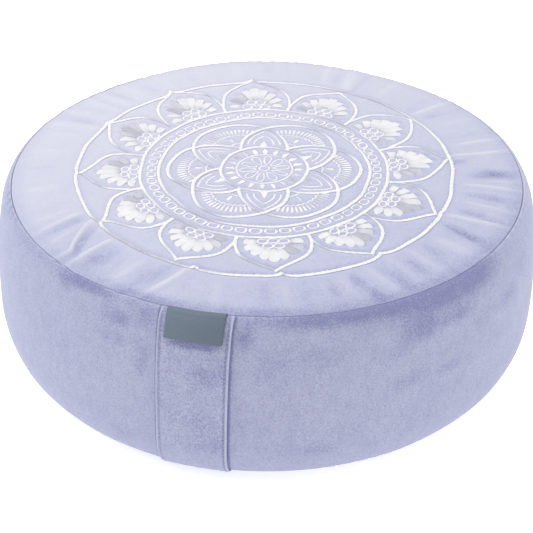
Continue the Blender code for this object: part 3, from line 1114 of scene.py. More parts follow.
class TopCloth:
    """Height of the top cloth: crown, puckers, creases and the pull of the stitching.

    The pull is kept on an even grid: the stitched width is dropped into its cells,
    blurred with a bell curve, and levels off where the stitching is dense.
    """

    PITCH = 0.75
    REACH = 150.0
    BLUR = 1.5
    DEPTH = 1.2
    DENSITY = 2.6
    PUFF = 0.12

    def __init__(self, form: CushionForm, groups: Groups) -> None:
        """Work the pull out from all strands.

        Args:
            form: The cushion's form.
            groups: The strands on the cushion.
        """
        self.form = form
        strands = [s for group in groups.values() for s in group]
        places = joined([s.path for s in strands])
        steps = [float(np.linalg.norm(np.diff(s.path, axis=0), axis=1).mean()) for s in strands]
        step = np.repeat(steps, [len(s.path) for s in strands])
        area = step * joined([s.width for s in strands])
        self.size = int(2 * self.REACH / self.PITCH)
        cell = np.clip(((places + self.REACH) / self.PITCH).astype(int), 0, self.size - 1)
        grid = np.bincount(cell[:, 0] * self.size + cell[:, 1], area, self.size**2)
        grid = grid.reshape(self.size, self.size) / self.PITCH**2
        wave = np.fft.fftfreq(self.size, self.PITCH)
        bell = np.exp(-2.0 * (math.pi * self.BLUR * wave) ** 2)
        blurred = np.fft.ifft2(np.fft.fft2(grid) * bell[:, None] * bell[None, :]).real
        self.cover = 1.0 - np.exp(-self.DENSITY * np.maximum(blurred, 0.0))

    def stitched(self, x: Array, y: Array) -> Array:
        """How densely the cloth is stitched near each point, from 0 to 1, read between the cells.

        Args:
            x: Place along X.
            y: Place along Y.

        Returns:
            The density.
        """
        across = np.clip((x + self.REACH) / self.PITCH - 0.5, 0.0, self.size - 1.001)
        along = np.clip((y + self.REACH) / self.PITCH - 0.5, 0.0, self.size - 1.001)
        i, j = across.astype(int), along.astype(int)
        a, b = across - i, along - j
        low = self.cover[i, j] * (1 - b) + self.cover[i, j + 1] * b
        high = self.cover[i + 1, j] * (1 - b) + self.cover[i + 1, j + 1] * b
        return low * (1 - a) + high * a

    def creased(self, x: Array, y: Array) -> Array:
        """Sum of the creases: a squared cosine of the distance to each one's middle line.

        Args:
            x: Place along X.
            y: Place along Y.

        Returns:
            The rise.
        """
        total = np.zeros(np.shape(x))
        for crease in CREASES:
            start, end = np.array(crease.start), np.array(crease.end)
            way, dx, dy = end - start, x - start[0], y - start[1]
            share = np.clip((dx * way[0] + dy * way[1]) / (way @ way), 0.0, 1.0)
            distance = np.hypot(dx - share * way[0], dy - share * way[1])
            total += crease.rise * hump(distance, crease.half_width)
        return total

    def height(self, x: Array, y: Array) -> Array:
        """Height of the cloth's face at each point.

        Args:
            x: Place along X.
            y: Place along Y.

        Returns:
            The height.
        """
        radius, angle = np.hypot(x, y), np.arctan2(y, x)
        puff = self.PUFF * np.sin(x / 11.0 + 0.5) * np.sin(y / 13.0 + 1.0)
        rise = self.form.pucker_rise(radius, angle) + self.creased(x, y) + puff
        return self.form.top_height(radius) + rise - self.DEPTH * self.stitched(x, y)


# ---- shader maths


class Channel:
    """A number that varies over a surface; arithmetic on it adds Math nodes."""

    def __init__(self, graph: "Graph", output: Socket) -> None:
        """Wrap a node's output."""
        self.graph = graph
        self.output = output

    def math(self, operation: str, *operands: "Channel | float", clamp: bool = False) -> "Channel":
        """A Math node on the operands, in order.

        Args:
            operation: What the node does.
            operands: Channels or numbers.
            clamp: True to stay between 0 and 1.

        Returns:
            The result.
        """
        settings = {"operation": operation, "use_clamp": clamp}
        node = self.graph.node("ShaderNodeMath", settings, dict(enumerate(operands)))
        return Channel(self.graph, node.outputs[0])

    def __add__(self, other: "Channel | float") -> "Channel":
        """Sum."""
        return self.math("ADD", self, other)

    __radd__ = __add__

    def __sub__(self, other: "Channel | float") -> "Channel":
        """Difference."""
        return self.math("SUBTRACT", self, other)

    def __rsub__(self, other: float) -> "Channel":
        """Difference from a number."""
        return self.math("SUBTRACT", other, self)

    def __mul__(self, other: "Channel | float") -> "Channel":
        """Product."""
        return self.math("MULTIPLY", self, other)

    __rmul__ = __mul__

    def clamped(self) -> "Channel":
        """The same, kept between 0 and 1."""
        return self.math("ADD", self, 0.0, clamp=True)

    def sine(self) -> "Channel":
        """Sine of the number."""
        return self.math("SINE", self)

    def size(self) -> "Channel":
        """The number without its sign."""
        return self.math("ABSOLUTE", self)

    def band(self, low: float, high: float) -> "Channel":
        """Smooth step from 0 at low to 1 at high.

        Args:
            low: Where it starts.
            high: Where it ends.

        Returns:
            The step.
        """
        node = self.graph.node(
            "ShaderNodeMapRange",
            {"interpolation_type": "SMOOTHSTEP"},
            {"Value": self, "From Min": low, "From Max": high},
        )
        return Channel(self.graph, node.outputs["Result"])


class Graph:
    """A material's nodes."""

    def __init__(self, name: str) -> None:
        """Make an empty material.

        Args:
            name: The material's name.
        """
        self.material = bpy.data.materials.new(name)
        self.material.use_nodes = True
        self.tree = self.material.node_tree
        self.tree.nodes.clear()

    def node(
        self, kind: str, settings: dict | None = None, sockets: dict | None = None
    ) -> bpy.types.Node:
        """Add a node.

        Args:
            kind: The node's type.
            settings: Its settings, set first.
            sockets: Values or links of its inputs, by name or number.

        Returns:
            The node.
        """
        made = self.tree.nodes.new(kind)
        for name, value in (settings or {}).items():
            setattr(made, name, value)
        for name, value in (sockets or {}).items():
            if isinstance(value, Channel):
                value = value.output
            if isinstance(value, Socket):
                self.tree.links.new(value, made.inputs[name])
            else:
                made.inputs[name].default_value = value
        return made

    def place(self) -> Socket:
        """The point on the object, in metres."""
        return self.node("ShaderNodeTexCoord").outputs["Object"]

    def map_of_piece(self) -> tuple[Channel, Channel]:
        """The two numbers of the piece's own UV map.

        Returns:
            The number along and the number across.
        """
        flat = self.node("ShaderNodeUVMap").outputs["UV"]
        split = self.node("ShaderNodeSeparateXYZ", None, {0: flat})
        return Channel(self, split.outputs[0]), Channel(self, split.outputs[1])

    def mark(self, name: str) -> Channel:
        """A number that the mesh's points carry."""
        node = self.node("ShaderNodeAttribute", {"attribute_name": name})
        return Channel(self, node.outputs["Fac"])

    def stretched(self, vector: Socket, scale: Sequence[float]) -> Socket:
        """The vector, multiplied along each axis."""
        node = self.node("ShaderNodeVectorMath", {"operation": "MULTIPLY"}, {0: vector, 1: scale})
        return node.outputs[0]

    def noise(
        self, vector: Socket, size: float, detail: float = 2.0, rough: float = 0.5
    ) -> Channel:
        """Soft noise whose cells measure size millimetres.

        Args:
            vector: Where it is read.
            size: The size of its cells.
            detail: How many finer layers it has.
            rough: How strong they are.

        Returns:
            The noise, from 0 to 1.
        """
        scale = 1.0 / (size * MM)
        sockets = {"Vector": vector, "Scale": scale, "Detail": detail, "Roughness": rough}
        return Channel(self, self.node("ShaderNodeTexNoise", None, sockets).outputs[0])

    def blend(self, factor: Channel, first: object, second: object) -> Socket:
        """A colour between two, each given as a colour or a link."""
        sockets = {0: factor, 6: self.opaque(first), 7: self.opaque(second)}
        return self.node("ShaderNodeMix", {"data_type": "RGBA"}, sockets).outputs[2]

    @staticmethod
    def opaque(colour: object) -> object:
        """A colour with its fourth number; a link as it is."""
        return (*colour, 1.0) if isinstance(colour, tuple) else colour

    def bump(self, height: Channel, depth: float) -> Socket:
        """Normal of a relief that is depth millimetres high."""
        sockets = {"Strength": 1.0, "Distance": depth * MM, "Height": height}
        return self.node("ShaderNodeBump", None, sockets).outputs["Normal"]

    def finish(self, sockets: dict) -> Material:
        """Close the material with a Principled shader.

        Args:
            sockets: Values or links of its inputs.

        Returns:
            The material.
        """
        shader = self.node("ShaderNodeBsdfPrincipled", None, sockets)
        self.node("ShaderNodeOutputMaterial", None, {"Surface": shader.outputs[0]})
        return self.material


# ---- finishes


@dataclass(frozen=True)
class VelvetFinish:
    """Short-pile velvet whose nap lies unevenly, light one way and deeper the other; its marks also
    carry painted light and shade.
    """

    name: str = "lilac_velvet"
    light: Colour = (0.578, 0.586, 0.664)
    middle: Colour = (0.432, 0.444, 0.588)
    deep: Colour = (0.215, 0.226, 0.400)
    sheen: float = 0.35
    sheen_tint: Colour = (0.86, 0.88, 1.0)
    cloud: float = 34.0
    brush: float = 7.0
    grain: float = 1.15
    even: float = 0.85
    streaked: float = 0.3
    clouded: float = 0.12
    brushed: float = 0.08
    grain_light: float = 0.35
    grain_deep: float = 0.65
    grain_coarse: float = 0.25
    pile: float = 0.35

    def material(self) -> Material:
        """Nap and painted light and shade from the mesh's own marks, and three sizes of noise;
        grain in the relief.

        The colour goes from light over middle to deep. The grain is coarser to the eye
        where the mark is deep, from the nap and from painted shade.

        Returns:
            The material.
        """
        graph = Graph(self.name)
        place = graph.place()
        cloud = graph.noise(place, self.cloud, 3.0)
        brush = graph.noise(graph.stretched(place, (1.0, 1.0, 0.6)), self.brush, 4.0, 0.65)
        grain = graph.noise(place, self.grain, 2.0, 0.6)
        # The mark holds the nap together with the painted light and shade of each piece
        mark = graph.mark("nap").clamped()
        laid = mark * (self.even + self.streaked * brush)
        coarser = self.grain_coarse * graph.mark("coarse")
        coarse = self.grain_light + self.grain_deep * mark + coarser
        mottle = self.clouded * (cloud - 0.5)
        nap = laid + mottle + self.brushed * (brush - 0.5) + coarse * (grain - 0.5)
        first = graph.blend((nap * 2.0).clamped(), self.light, self.middle)
        colour = graph.blend((nap * 2.0 - 1.0).clamped(), first, self.deep)
        relief = grain * (0.3 + 0.8 * mark) + brush * 0.6
        return graph.finish({
            "Base Color": colour,
            "Roughness": 0.9,
            "Specular IOR Level": 0.15,
            "Sheen Weight": self.sheen,
            "Sheen Roughness": 0.45,
            "Sheen Tint": (*self.sheen_tint, 1.0),
            "Normal": graph.bump(relief, self.pile),
        })


@dataclass(frozen=True)
class SatinStitchFinish:
    """Embroidery thread laid side by side across each line; U runs along in millimetres."""

    name: str = "white_thread"
    colour: Colour = (0.965, 0.965, 0.975)
    shaded: Colour = (0.50, 0.505, 0.585)
    # Painted shade at each line's edges, where it dips into the pile
    sunk: Colour = (0.40, 0.41, 0.58)
    thread: float = 0.42
    thread_relief: float = 0.16

    def material(self) -> Material:
        """Round ribs one thread wide, with painted shade at the edges where the line dips into the
        pile, and painted shade where the thread lies away from its sheen.

        Returns:
            The material.
        """
        graph = Graph(self.name)
        along, across = graph.map_of_piece()
        uneven = graph.noise(graph.place(), 2.6, 2.0)
        rib = (along * (math.pi / self.thread) + uneven * 3.0).sine().size()
        # Painted shade at the line's two edges
        edge = ((across - 0.5).size() * 2.0).band(0.76, 0.94)
        soft = graph.noise(graph.place(), 5.0, 3.0)
        # Dull thread from the mark and a soft noise, and painted shade where the thread lies away
        # from its sheen
        dull = (graph.mark("dull") + (soft - 0.5) * 0.5).clamped()
        thread_tone_and_shade = graph.blend(dull, self.colour, self.shaded)
        return graph.finish({
            "Base Color": graph.blend(edge, thread_tone_and_shade, self.sunk),
            "Roughness": 0.36,
            "Specular IOR Level": 0.6,
            "Sheen Weight": 0.15,
            "Normal": graph.bump(rib, self.thread_relief),
        })


@dataclass(frozen=True)
class SewingThreadFinish:
    """Twisted sewing thread of the seams."""

    name: str = "lilac_thread"
    colour: Colour = (0.46, 0.475, 0.66)
    shaded: Colour = (0.31, 0.325, 0.52)

    def material(self) -> Material:
        """Slanting twist along each stitch.

        Returns:
            The material.
        """
        graph = Graph(self.name)
        along, across = graph.map_of_piece()
        twist = (along * 9.0 + across * 6.0).sine() * 0.5 + 0.5
        return graph.finish({
            "Base Color": graph.blend(twist, self.shaded, self.colour),
            "Roughness": 0.55,
            "Normal": graph.bump(twist, 0.08),
        })


@dataclass(frozen=True)
class RibbonFinish:
    """Slate satin ribbon; U runs along it and V across it, in millimetres."""

    name: str = "grey_satin"
    colour: Colour = (0.099, 0.135, 0.176)
    pale: Colour = (0.146, 0.189, 0.242)
    float_pitch: float = 0.42
    pick_pitch: float = 0.36

    def material(self) -> Material:
        """Fine threads both ways, with the long floats of the satin along the ribbon, and a painted
        sheen that is paler towards one edge.

        Returns:
            The material.
        """
        graph = Graph(self.name)
        along, across = graph.map_of_piece()
        floats = (across * (FULL_TURN / self.float_pitch)).sine() * 0.5 + 0.5
        picks = (along * (FULL_TURN / self.pick_pitch)).sine() * 0.5 + 0.5
        speck = graph.noise(graph.place(), 0.9, 2.0)
        woven = floats * 0.30 + picks * 0.18 + (speck - 0.5) * 0.9
        # Painted sheen: paler where V is below zero, deeper where it is above
        weave_and_sheen = (woven + 0.15 - across * 0.012).clamped()
        return graph.finish({
            "Base Color": graph.blend(weave_and_sheen, self.colour, self.pale),
            "Roughness": 0.48,
            "Specular IOR Level": 0.45,
            "Sheen Weight": 0.1,
            "Normal": graph.bump(floats * 0.6 + picks * 0.4, 0.07),
        })


@dataclass(frozen=True)
class FloorFinish:
    """Plain pale studio floor."""

    name: str = "pale_floor"
    colour: Colour = (0.80, 0.80, 0.805)
    glow: float = 0.56
    mottled: float = 1.01

    def material(self) -> Material:
        """Matt, with a barely visible mottle.

        Returns:
            The material.
        """
        graph = Graph(self.name)
        mottle = graph.noise(graph.place(), 260.0, 2.0)
        pale = tuple(min(1.0, c * self.mottled) for c in self.colour)
        return graph.finish({
            "Base Color": graph.blend(mottle, self.colour, pale),
            "Roughness": 0.95,
            "Emission Color": (1.0, 1.0, 1.0, 1.0),
            "Emission Strength": self.glow,
        })


# ---- nap


@dataclass(frozen=True)
class NapAndShadePatch:
    """A stretch painted deeper-coloured: nap that lies the deeper way, and in some of them painted
    shade.
    """

    angle: float
    place: float
    half_angle: float
    half_length: float
    depth: float


# On the top panel, place is the radius. The narrow patches along the puckers' troughs are painted
# shade in them; the broad ones are nap.
TOP_NAP_AND_SHADE = records(
    NapAndShadePatch,
    (-126, 168, 9, 28, 0.26), (-135, 152, 3, 13, 0.24), (-134, 170, 5, 20, 0.22),
    (-116.5, 168, 7, 24, 0.3), (-104, 165, 7, 22, 0.24), (-101, 185, 16, 9, 0.3),
    (-77, 185, 14, 9, 0.2), (-66, 172, 7, 14, 0.12), (-56, 172, 10, 20, 0.1),
    (-52.4, 178, 2.4, 12, 0.34), (-54.4, 161, 2.6, 14, 0.28), (-45.2, 172, 2.6, 16, 0.22),
    (-38.8, 165, 1.8, 12, 0.2), (-31, 157, 2.6, 14, 0.22), (-60.6, 168, 1.8, 8, 0.18),
    (-77, 166, 4, 22, 0.14), (-40, 165, 12, 24, 0.1), (-20, 164, 3.2, 28, 0.36),
    (-1, 168, 3, 18, 0.24), (-9.6, 158, 2.2, 18, 0.2), (11.8, 168, 3.4, 20, 0.52),
    (17.8, 144, 2.6, 9, 0.5), (47.2, 153, 2.4, 14, 0.26), (53.4, 150, 2.6, 12, 0.18),
    (75.4, 147, 1.4, 12, 0.26), (168, 166, 3.5, 18, 0.12), (150, 172, 5, 16, 0.1),
)

# On the side band, place is the height over the floor. The patch at -89 degrees and 114 high is a
# painted shadow under the label.
WALL_NAP_AND_SHADE = records(
    NapAndShadePatch,
    (-38, 131, 24, 22, 0.68), (-34, 127, 14, 14, 0.16), (-62, 131, 20, 12, 0.5),
    (-45, 109, 8, 14, 0.32), (-36, 109, 7, 9, 0.3), (-52, 98, 6, 14, 0.1),
    (-29, 94, 8, 12, 0.08), (-19, 95, 6, 12, 0.2), (-12, 106, 4, 12, 0.12),
    (-48, 74, 6, 10, 0.14), (-38, 72, 8, 9, 0.1), (-24, 72, 6, 9, 0.08),
    (-79.5, 119, 3, 13, 0.3), (-75, 100, 6, 22, 0.12), (-66, 104, 6, 12, 0.1),
    (-86, 92, 6, 12, 0.2), (-89, 114, 7, 5.5, 0.8), (-85.5, 38, 4, 14, 0.16),
    (-87, 56, 5, 12, 0.1), (-66.5, 32, 8, 9, 0.12), (-56, 29, 5, 8, 0.08),
    (-105, 118, 5, 9, 0.3), (-99, 122, 3, 10, 0.25), (-114, 130, 10, 8, 0.36),
    (-119, 124, 4, 7, 0.2), (-99, 95, 2.5, 22, 0.22), (-104, 104, 6, 9, 0.14),
    (-104, 30, 4, 12, 0.1), (-132, 128, 8, 8, 0.06), (12, 118, 8, 14, 0.25),
    (40, 122, 16, 12, 0.22), (66, 100, 10, 18, 0.16), (92, 124, 14, 12, 0.3),
    (118, 84, 11, 17, 0.16), (146, 122, 14, 12, 0.25), (160, 70, 10, 16, 0.12),
)


def patched(table: Sequence[NapAndShadePatch], angle: Array, place: Array) -> Array:
    """Sum of the patches: a squared cosine each way.

    Args:
        table: The patches.
        angle: Angle, in radians.
        place: Radius or height, as in the table.

    Returns:
        The sum.
    """
    total = np.zeros(np.broadcast(angle, place).shape)
    for patch in table:
        across = about(angle, patch.angle, patch.half_angle)
        total += patch.depth * across * hump(place - patch.place, patch.half_length)
    return total


# ---- the sewn pieces


@dataclass
class TopPanel:
    """Round top panel, one sheet with its puckers, turned down at the seam."""

    form: CushionForm
    cloth: TopCloth
    columns: int = 720
    edge_roll: float = 0.8
    under_radii: tuple[float, ...] = (183.0, 170.0, 145.0, 100.0, 50.0)
    # Painted shade on the rolled rim: where it starts, how far it grows, and the angle where it is
    # least
    rim_from: float = 174.0
    rim_over: float = 12.0
    rim_lit_angle: float = 100.0
    # Painted light and shade across the top: deeper towards this angle, lighter away from it
    light_gradient_angle: float = -42.0
    resting_nap: float = 0.27
    # Strength of that painted gradient of light and shade
    slope_nap: float = 0.26
    patch_nap: float = 0.6
    # Painted light on the puckers' ridges and painted shade in their troughs
    ridge_nap: float = 0.30
    trough_nap: float = 0.14
    # Painted shade by the stitching, and more of it on the far side of each stitched line
    stitched_nap: float = 0.14
    behind_nap: float = 0.20
    # Strength of the painted shade on the rolled rim
    rim_nap: float = 0.16

    # The way over the top away from the camera, along which the far side of each stitched line is
    # painted in shade, and how far along it the stitching is compared
    FAR_WAY = (0.246, 0.969)
    FAR_STEP = 0.9

    def radii(self) -> Array:
        """Radii of the face's rings: wide steps in the middle, close ones by the seam.

        Returns:
            The radii.
        """
        last = self.form.seam_radius - self.edge_roll
        return joined([
            np.linspace(2.2, 100.0, 62), np.linspace(101.5, 138.6, 26),
            np.linspace(139.8, last, 34),
        ])

    def build(self, material: Material) -> Piece:
        """Make the panel.

        The face follows the cloth's height. Its edge is a quarter circle down, and its
        underside is the round cushion's top less the thickness.

        Args:
            material: The velvet.

        Returns:
            The piece.
        """
        form = self.form
        angle = round_the_axis(self.columns)[None, :]
        radius = self.radii()[:, None]
        spread = form.swollen(radius, angle, form.top_height(radius))
        x, y = spread * np.cos(angle), spread * np.sin(angle)
        face = np.stack([x, y, self.cloth.height(x, y)], -1)
        roll = np.linspace(0.25, 1.0, 4)[:, None] * QUARTER
        out = self.edge_roll * np.sin(roll)
        edge = form.settle(radius[-1] + out, angle, form.top_height(radius[-1]) + 0.0 * out)
        edge[..., 2] -= self.edge_roll * (1.0 - np.cos(roll))
        below = np.array([form.seam_radius, *self.under_radii])[:, None]
        under = form.settle(below, angle, form.top_height(below) + 0.0 * angle)
        under[..., 2] -= form.panel_thickness
        rows = joined([face, edge, under])
        middle = self.cloth.height(np.zeros(1), np.zeros(1))[0]
        below_middle = form.top_height(0.0) - form.panel_thickness
        poles = np.array([[0.0, 0.0, middle], [0.0, 0.0, below_middle]])
        nap = self.nap(radius, angle, x, y)
        marks = joined([nap, np.repeat(nap[-1:], len(edge) + len(under), axis=0)])
        surface = Surface()
        surface.add_turned(rows, poles, nap=joined([marks.ravel(), [nap[0].mean()] * 2]))
        panel = surface.build("embroidered_top", material)
        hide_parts("top_panel")
        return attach(panel, "root")

    def nap(self, radius: Array, angle: Array, x: Array, y: Array) -> Array:
        """Depth of the nap, and painted light and shade: patches, a gradient across the top, the
        puckers, the stitching and most its far side, the rolled rim.

        Args:
            radius: Distance from the axis.
            angle: Angle, in radians.
            x: Place along X.
            y: Place along Y.

        Returns:
            The depth.
        """
        rise = self.form.pucker_rise(radius, angle)
        # Painted shade on the rolled rim
        rim = ramp((radius - self.rim_from) / self.rim_over)
        # Painted shade on the far side of each stitched line, away from the camera
        dx, dy = self.FAR_STEP * self.FAR_WAY[0], self.FAR_STEP * self.FAR_WAY[1]
        far_side_shade = self.cloth.stitched(x - dx, y - dy) - self.cloth.stitched(x + dx, y + dy)
        # A painted gradient of light and shade across the top
        light_gradient = (radius / self.form.seam_radius) * np.cos(angle - math.radians(self.light_gradient_angle))
        return (
            self.resting_nap
            + self.slope_nap * light_gradient
            # nap patches, and painted shade along the puckers' troughs
            + self.patch_nap * patched(TOP_NAP_AND_SHADE, angle, radius)
            # painted light on the puckers' ridges, painted shade in their troughs
            - self.ridge_nap * np.clip(rise, 0.0, 1.6)
            - self.trough_nap * np.clip(rise, -1.6, 0.0)
            # painted shade by the stitching, more on its far side
            + self.stitched_nap * self.cloth.stitched(x, y)
            + self.behind_nap * far_side_shade
            # painted shade on the rolled rim, least towards the back
            + self.rim_nap * rim * (1.0 - 0.5 * np.cos(angle - math.radians(self.rim_lit_angle)))
        )

    def declare(self, panel: Piece, stitching: Sequence[Piece]) -> None:
        """Does nothing; how the panel was cut is not said.

        Args:
            panel: The panel; not used.
            stitching: The pieces sewn on it; not used.
        """


@dataclass
class SideBand:
    """Side band over its filling: bulging, drawn in at both seams."""

    form: CushionForm
    handle: "CarryHandle"
    columns: int = 720
    rows_above: int = 56
    rows_below: int = 24
    first_turn: float = 0.025
    groove: float = 1.6
    # Reach of the painted shade under the top seam
    seam_reach: float = 9.0
    # The band's nap rests deeper than the top panel's: painted shade of the side
    resting_nap: float = 0.635
    patch_nap: float = 0.8
    # Painted shade under the top seam, a painted highlight on the lip below it, painted light along
    # the seam towards the back, painted shade in the pleats
    seam_nap: float = 0.10
    lip_nap: float = 0.12
    back_nap: float = 0.20
    pleat_nap: float = 0.45

    def build(self, material: Material) -> Piece:
        """Make the band and the hidden rest of the filled form.

        The band follows the form's two quarter ellipses. At each seam it turns in and
        down into a narrow groove, and it goes on under the panels to the axis.

        Args:
            material: The velvet.

        Returns:
            The piece.
        """
        form = self.form
        even = round_the_axis(self.columns)
        close = self.handle.edge_angles() % FULL_TURN
        angle = np.unique(np.round(joined([even, close]), 5))[None, :]
        turn = joined([
            np.linspace(self.first_turn, 1.0, self.rows_above),
            np.linspace(1.0, form.last_turn, self.rows_below)[1:],
        ])[:, None]
        band = form.band(turn, angle)
        inside = form.seam_radius + form.gap
        below_top = form.panel_thickness + form.gap
        top = form.top_seam_height
        above = [(r, form.top_height(r) - below_top) for r in (60.0, 110.0, 150.0, 172.0, 182.0)]
        above += [(form.seam_radius, top - below_top), (inside, top - below_top)]
        above += [(inside, top - 1.2), (inside, top - 0.6), (inside + 0.1, top - 0.25)]
        rim = form.foot_height(form.seam_radius)
        under = [(inside + 0.4, rim + 0.6), (inside, rim + self.groove), (inside, rim + below_top)]
        under += [(r, form.foot_height(r) + below_top) for r in (181.0, 174.0, 120.0, 60.0)]
        rows = joined([self.ringed(above, angle), band, self.ringed(under, angle)])
        poles = np.array([[0.0, 0.0, form.top_height(0.0) - below_top], [0.0, 0.0, below_top]])
        nap = self.nap(turn, angle, band[..., 2])
        marks = joined([
            np.repeat(nap[:1], len(above), axis=0), nap, np.repeat(nap[-1:], len(under), axis=0),
        ])
        surface = Surface()
        surface.add_turned(rows, poles, nap=joined([marks.ravel(), [0.5, 0.5]]))
        piece = surface.build("side_band", material)
        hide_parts("filled_body")
        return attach(piece, "root")

    def nap(self, turn: Array, angle: Array, height: Array) -> Array:
        """Depth of the nap, and painted light and shade: patches with a painted shadow under the
        label, painted shade under the seam, a painted highlight on its lip, painted light towards
        the back, painted shade in the pleats and a painted shadow beside the handle.

        Args:
            turn: Turn down the band.
            angle: Angle, in radians.
            height: Height over the floor.

        Returns:
            The depth.
        """
        near_seam = hump(height - self.form.top_seam_height, self.seam_reach)
        # Nap patches, with a painted shadow under the label
        nap = self.resting_nap + self.patch_nap * patched(WALL_NAP_AND_SHADE, angle, height)
        # painted shade under the seam and a painted highlight on its lip
        nap = nap + self.seam_nap * near_seam - self.lip_nap * hump(turn - 0.045, 0.03)
        # painted light near the seam, growing towards the back
        nap = nap - self.back_nap * near_seam * (1.0 + np.sin(angle))
        # Painted shadow beside the handle's two edges
        pressed = self.handle.pressed(turn, angle)
        # painted shade in the pleats' troughs
        return nap - self.pleat_nap * self.form.pleated(turn, angle) + pressed

    def ringed(self, profile: Sequence[tuple[float, float]], angle: Array) -> Array:
        """A profile of radii and heights, turned about the axis and settled."""
        points = np.array(profile)
        return self.form.settle(points[:, :1], angle, points[:, 1:])


@dataclass
class BottomPanel:
    """Round bottom panel, flat where it stands, turned up to its seam."""

    form: CushionForm
    columns: int = 360
    wrinkle: float = 0.25
    wrinkle_from: float = 176.0
    wrinkle_over: float = 8.0

    def build(self, material: Material) -> Piece:
        """Make the panel: a level underside that rises with the square to a rolled edge.

        Args:
            material: The velvet.

        Returns:
            The piece.
        """
        form = self.form
        angle = round_the_axis(self.columns)[None, :]
        flat, rising = np.linspace(20.0, form.foot_radius, 12), np.linspace(175.5, 186.4, 9)
        face = joined([flat, rising])[:, None]
        under = form.settle(face, angle, form.foot_height(face))
        gathered = ramp((face - self.wrinkle_from) / self.wrinkle_over)
        under[..., 2] += self.wrinkle * gathered * (1.0 + np.sin(form.gathers * angle)) * 0.5
        inner = np.array([187.2, 186.9, 181.0, 174.0, 100.0])[:, None]
        over = form.settle(inner, angle, form.foot_height(inner) + form.panel_thickness)
        over[0, :, 2] -= 1.1
        rows = joined([over[::-1], under[::-1]])
        poles = np.array([[0.0, 0.0, form.panel_thickness], [0.0, 0.0, 0.0]])
        surface = Surface()
        surface.add_turned(rows, poles, nap=np.full(rows.shape[0] * rows.shape[1] + 2, 0.3))
        piece = surface.build("bottom_cloth", material)
        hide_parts("bottom_panel")
        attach(piece, "root")
        return piece


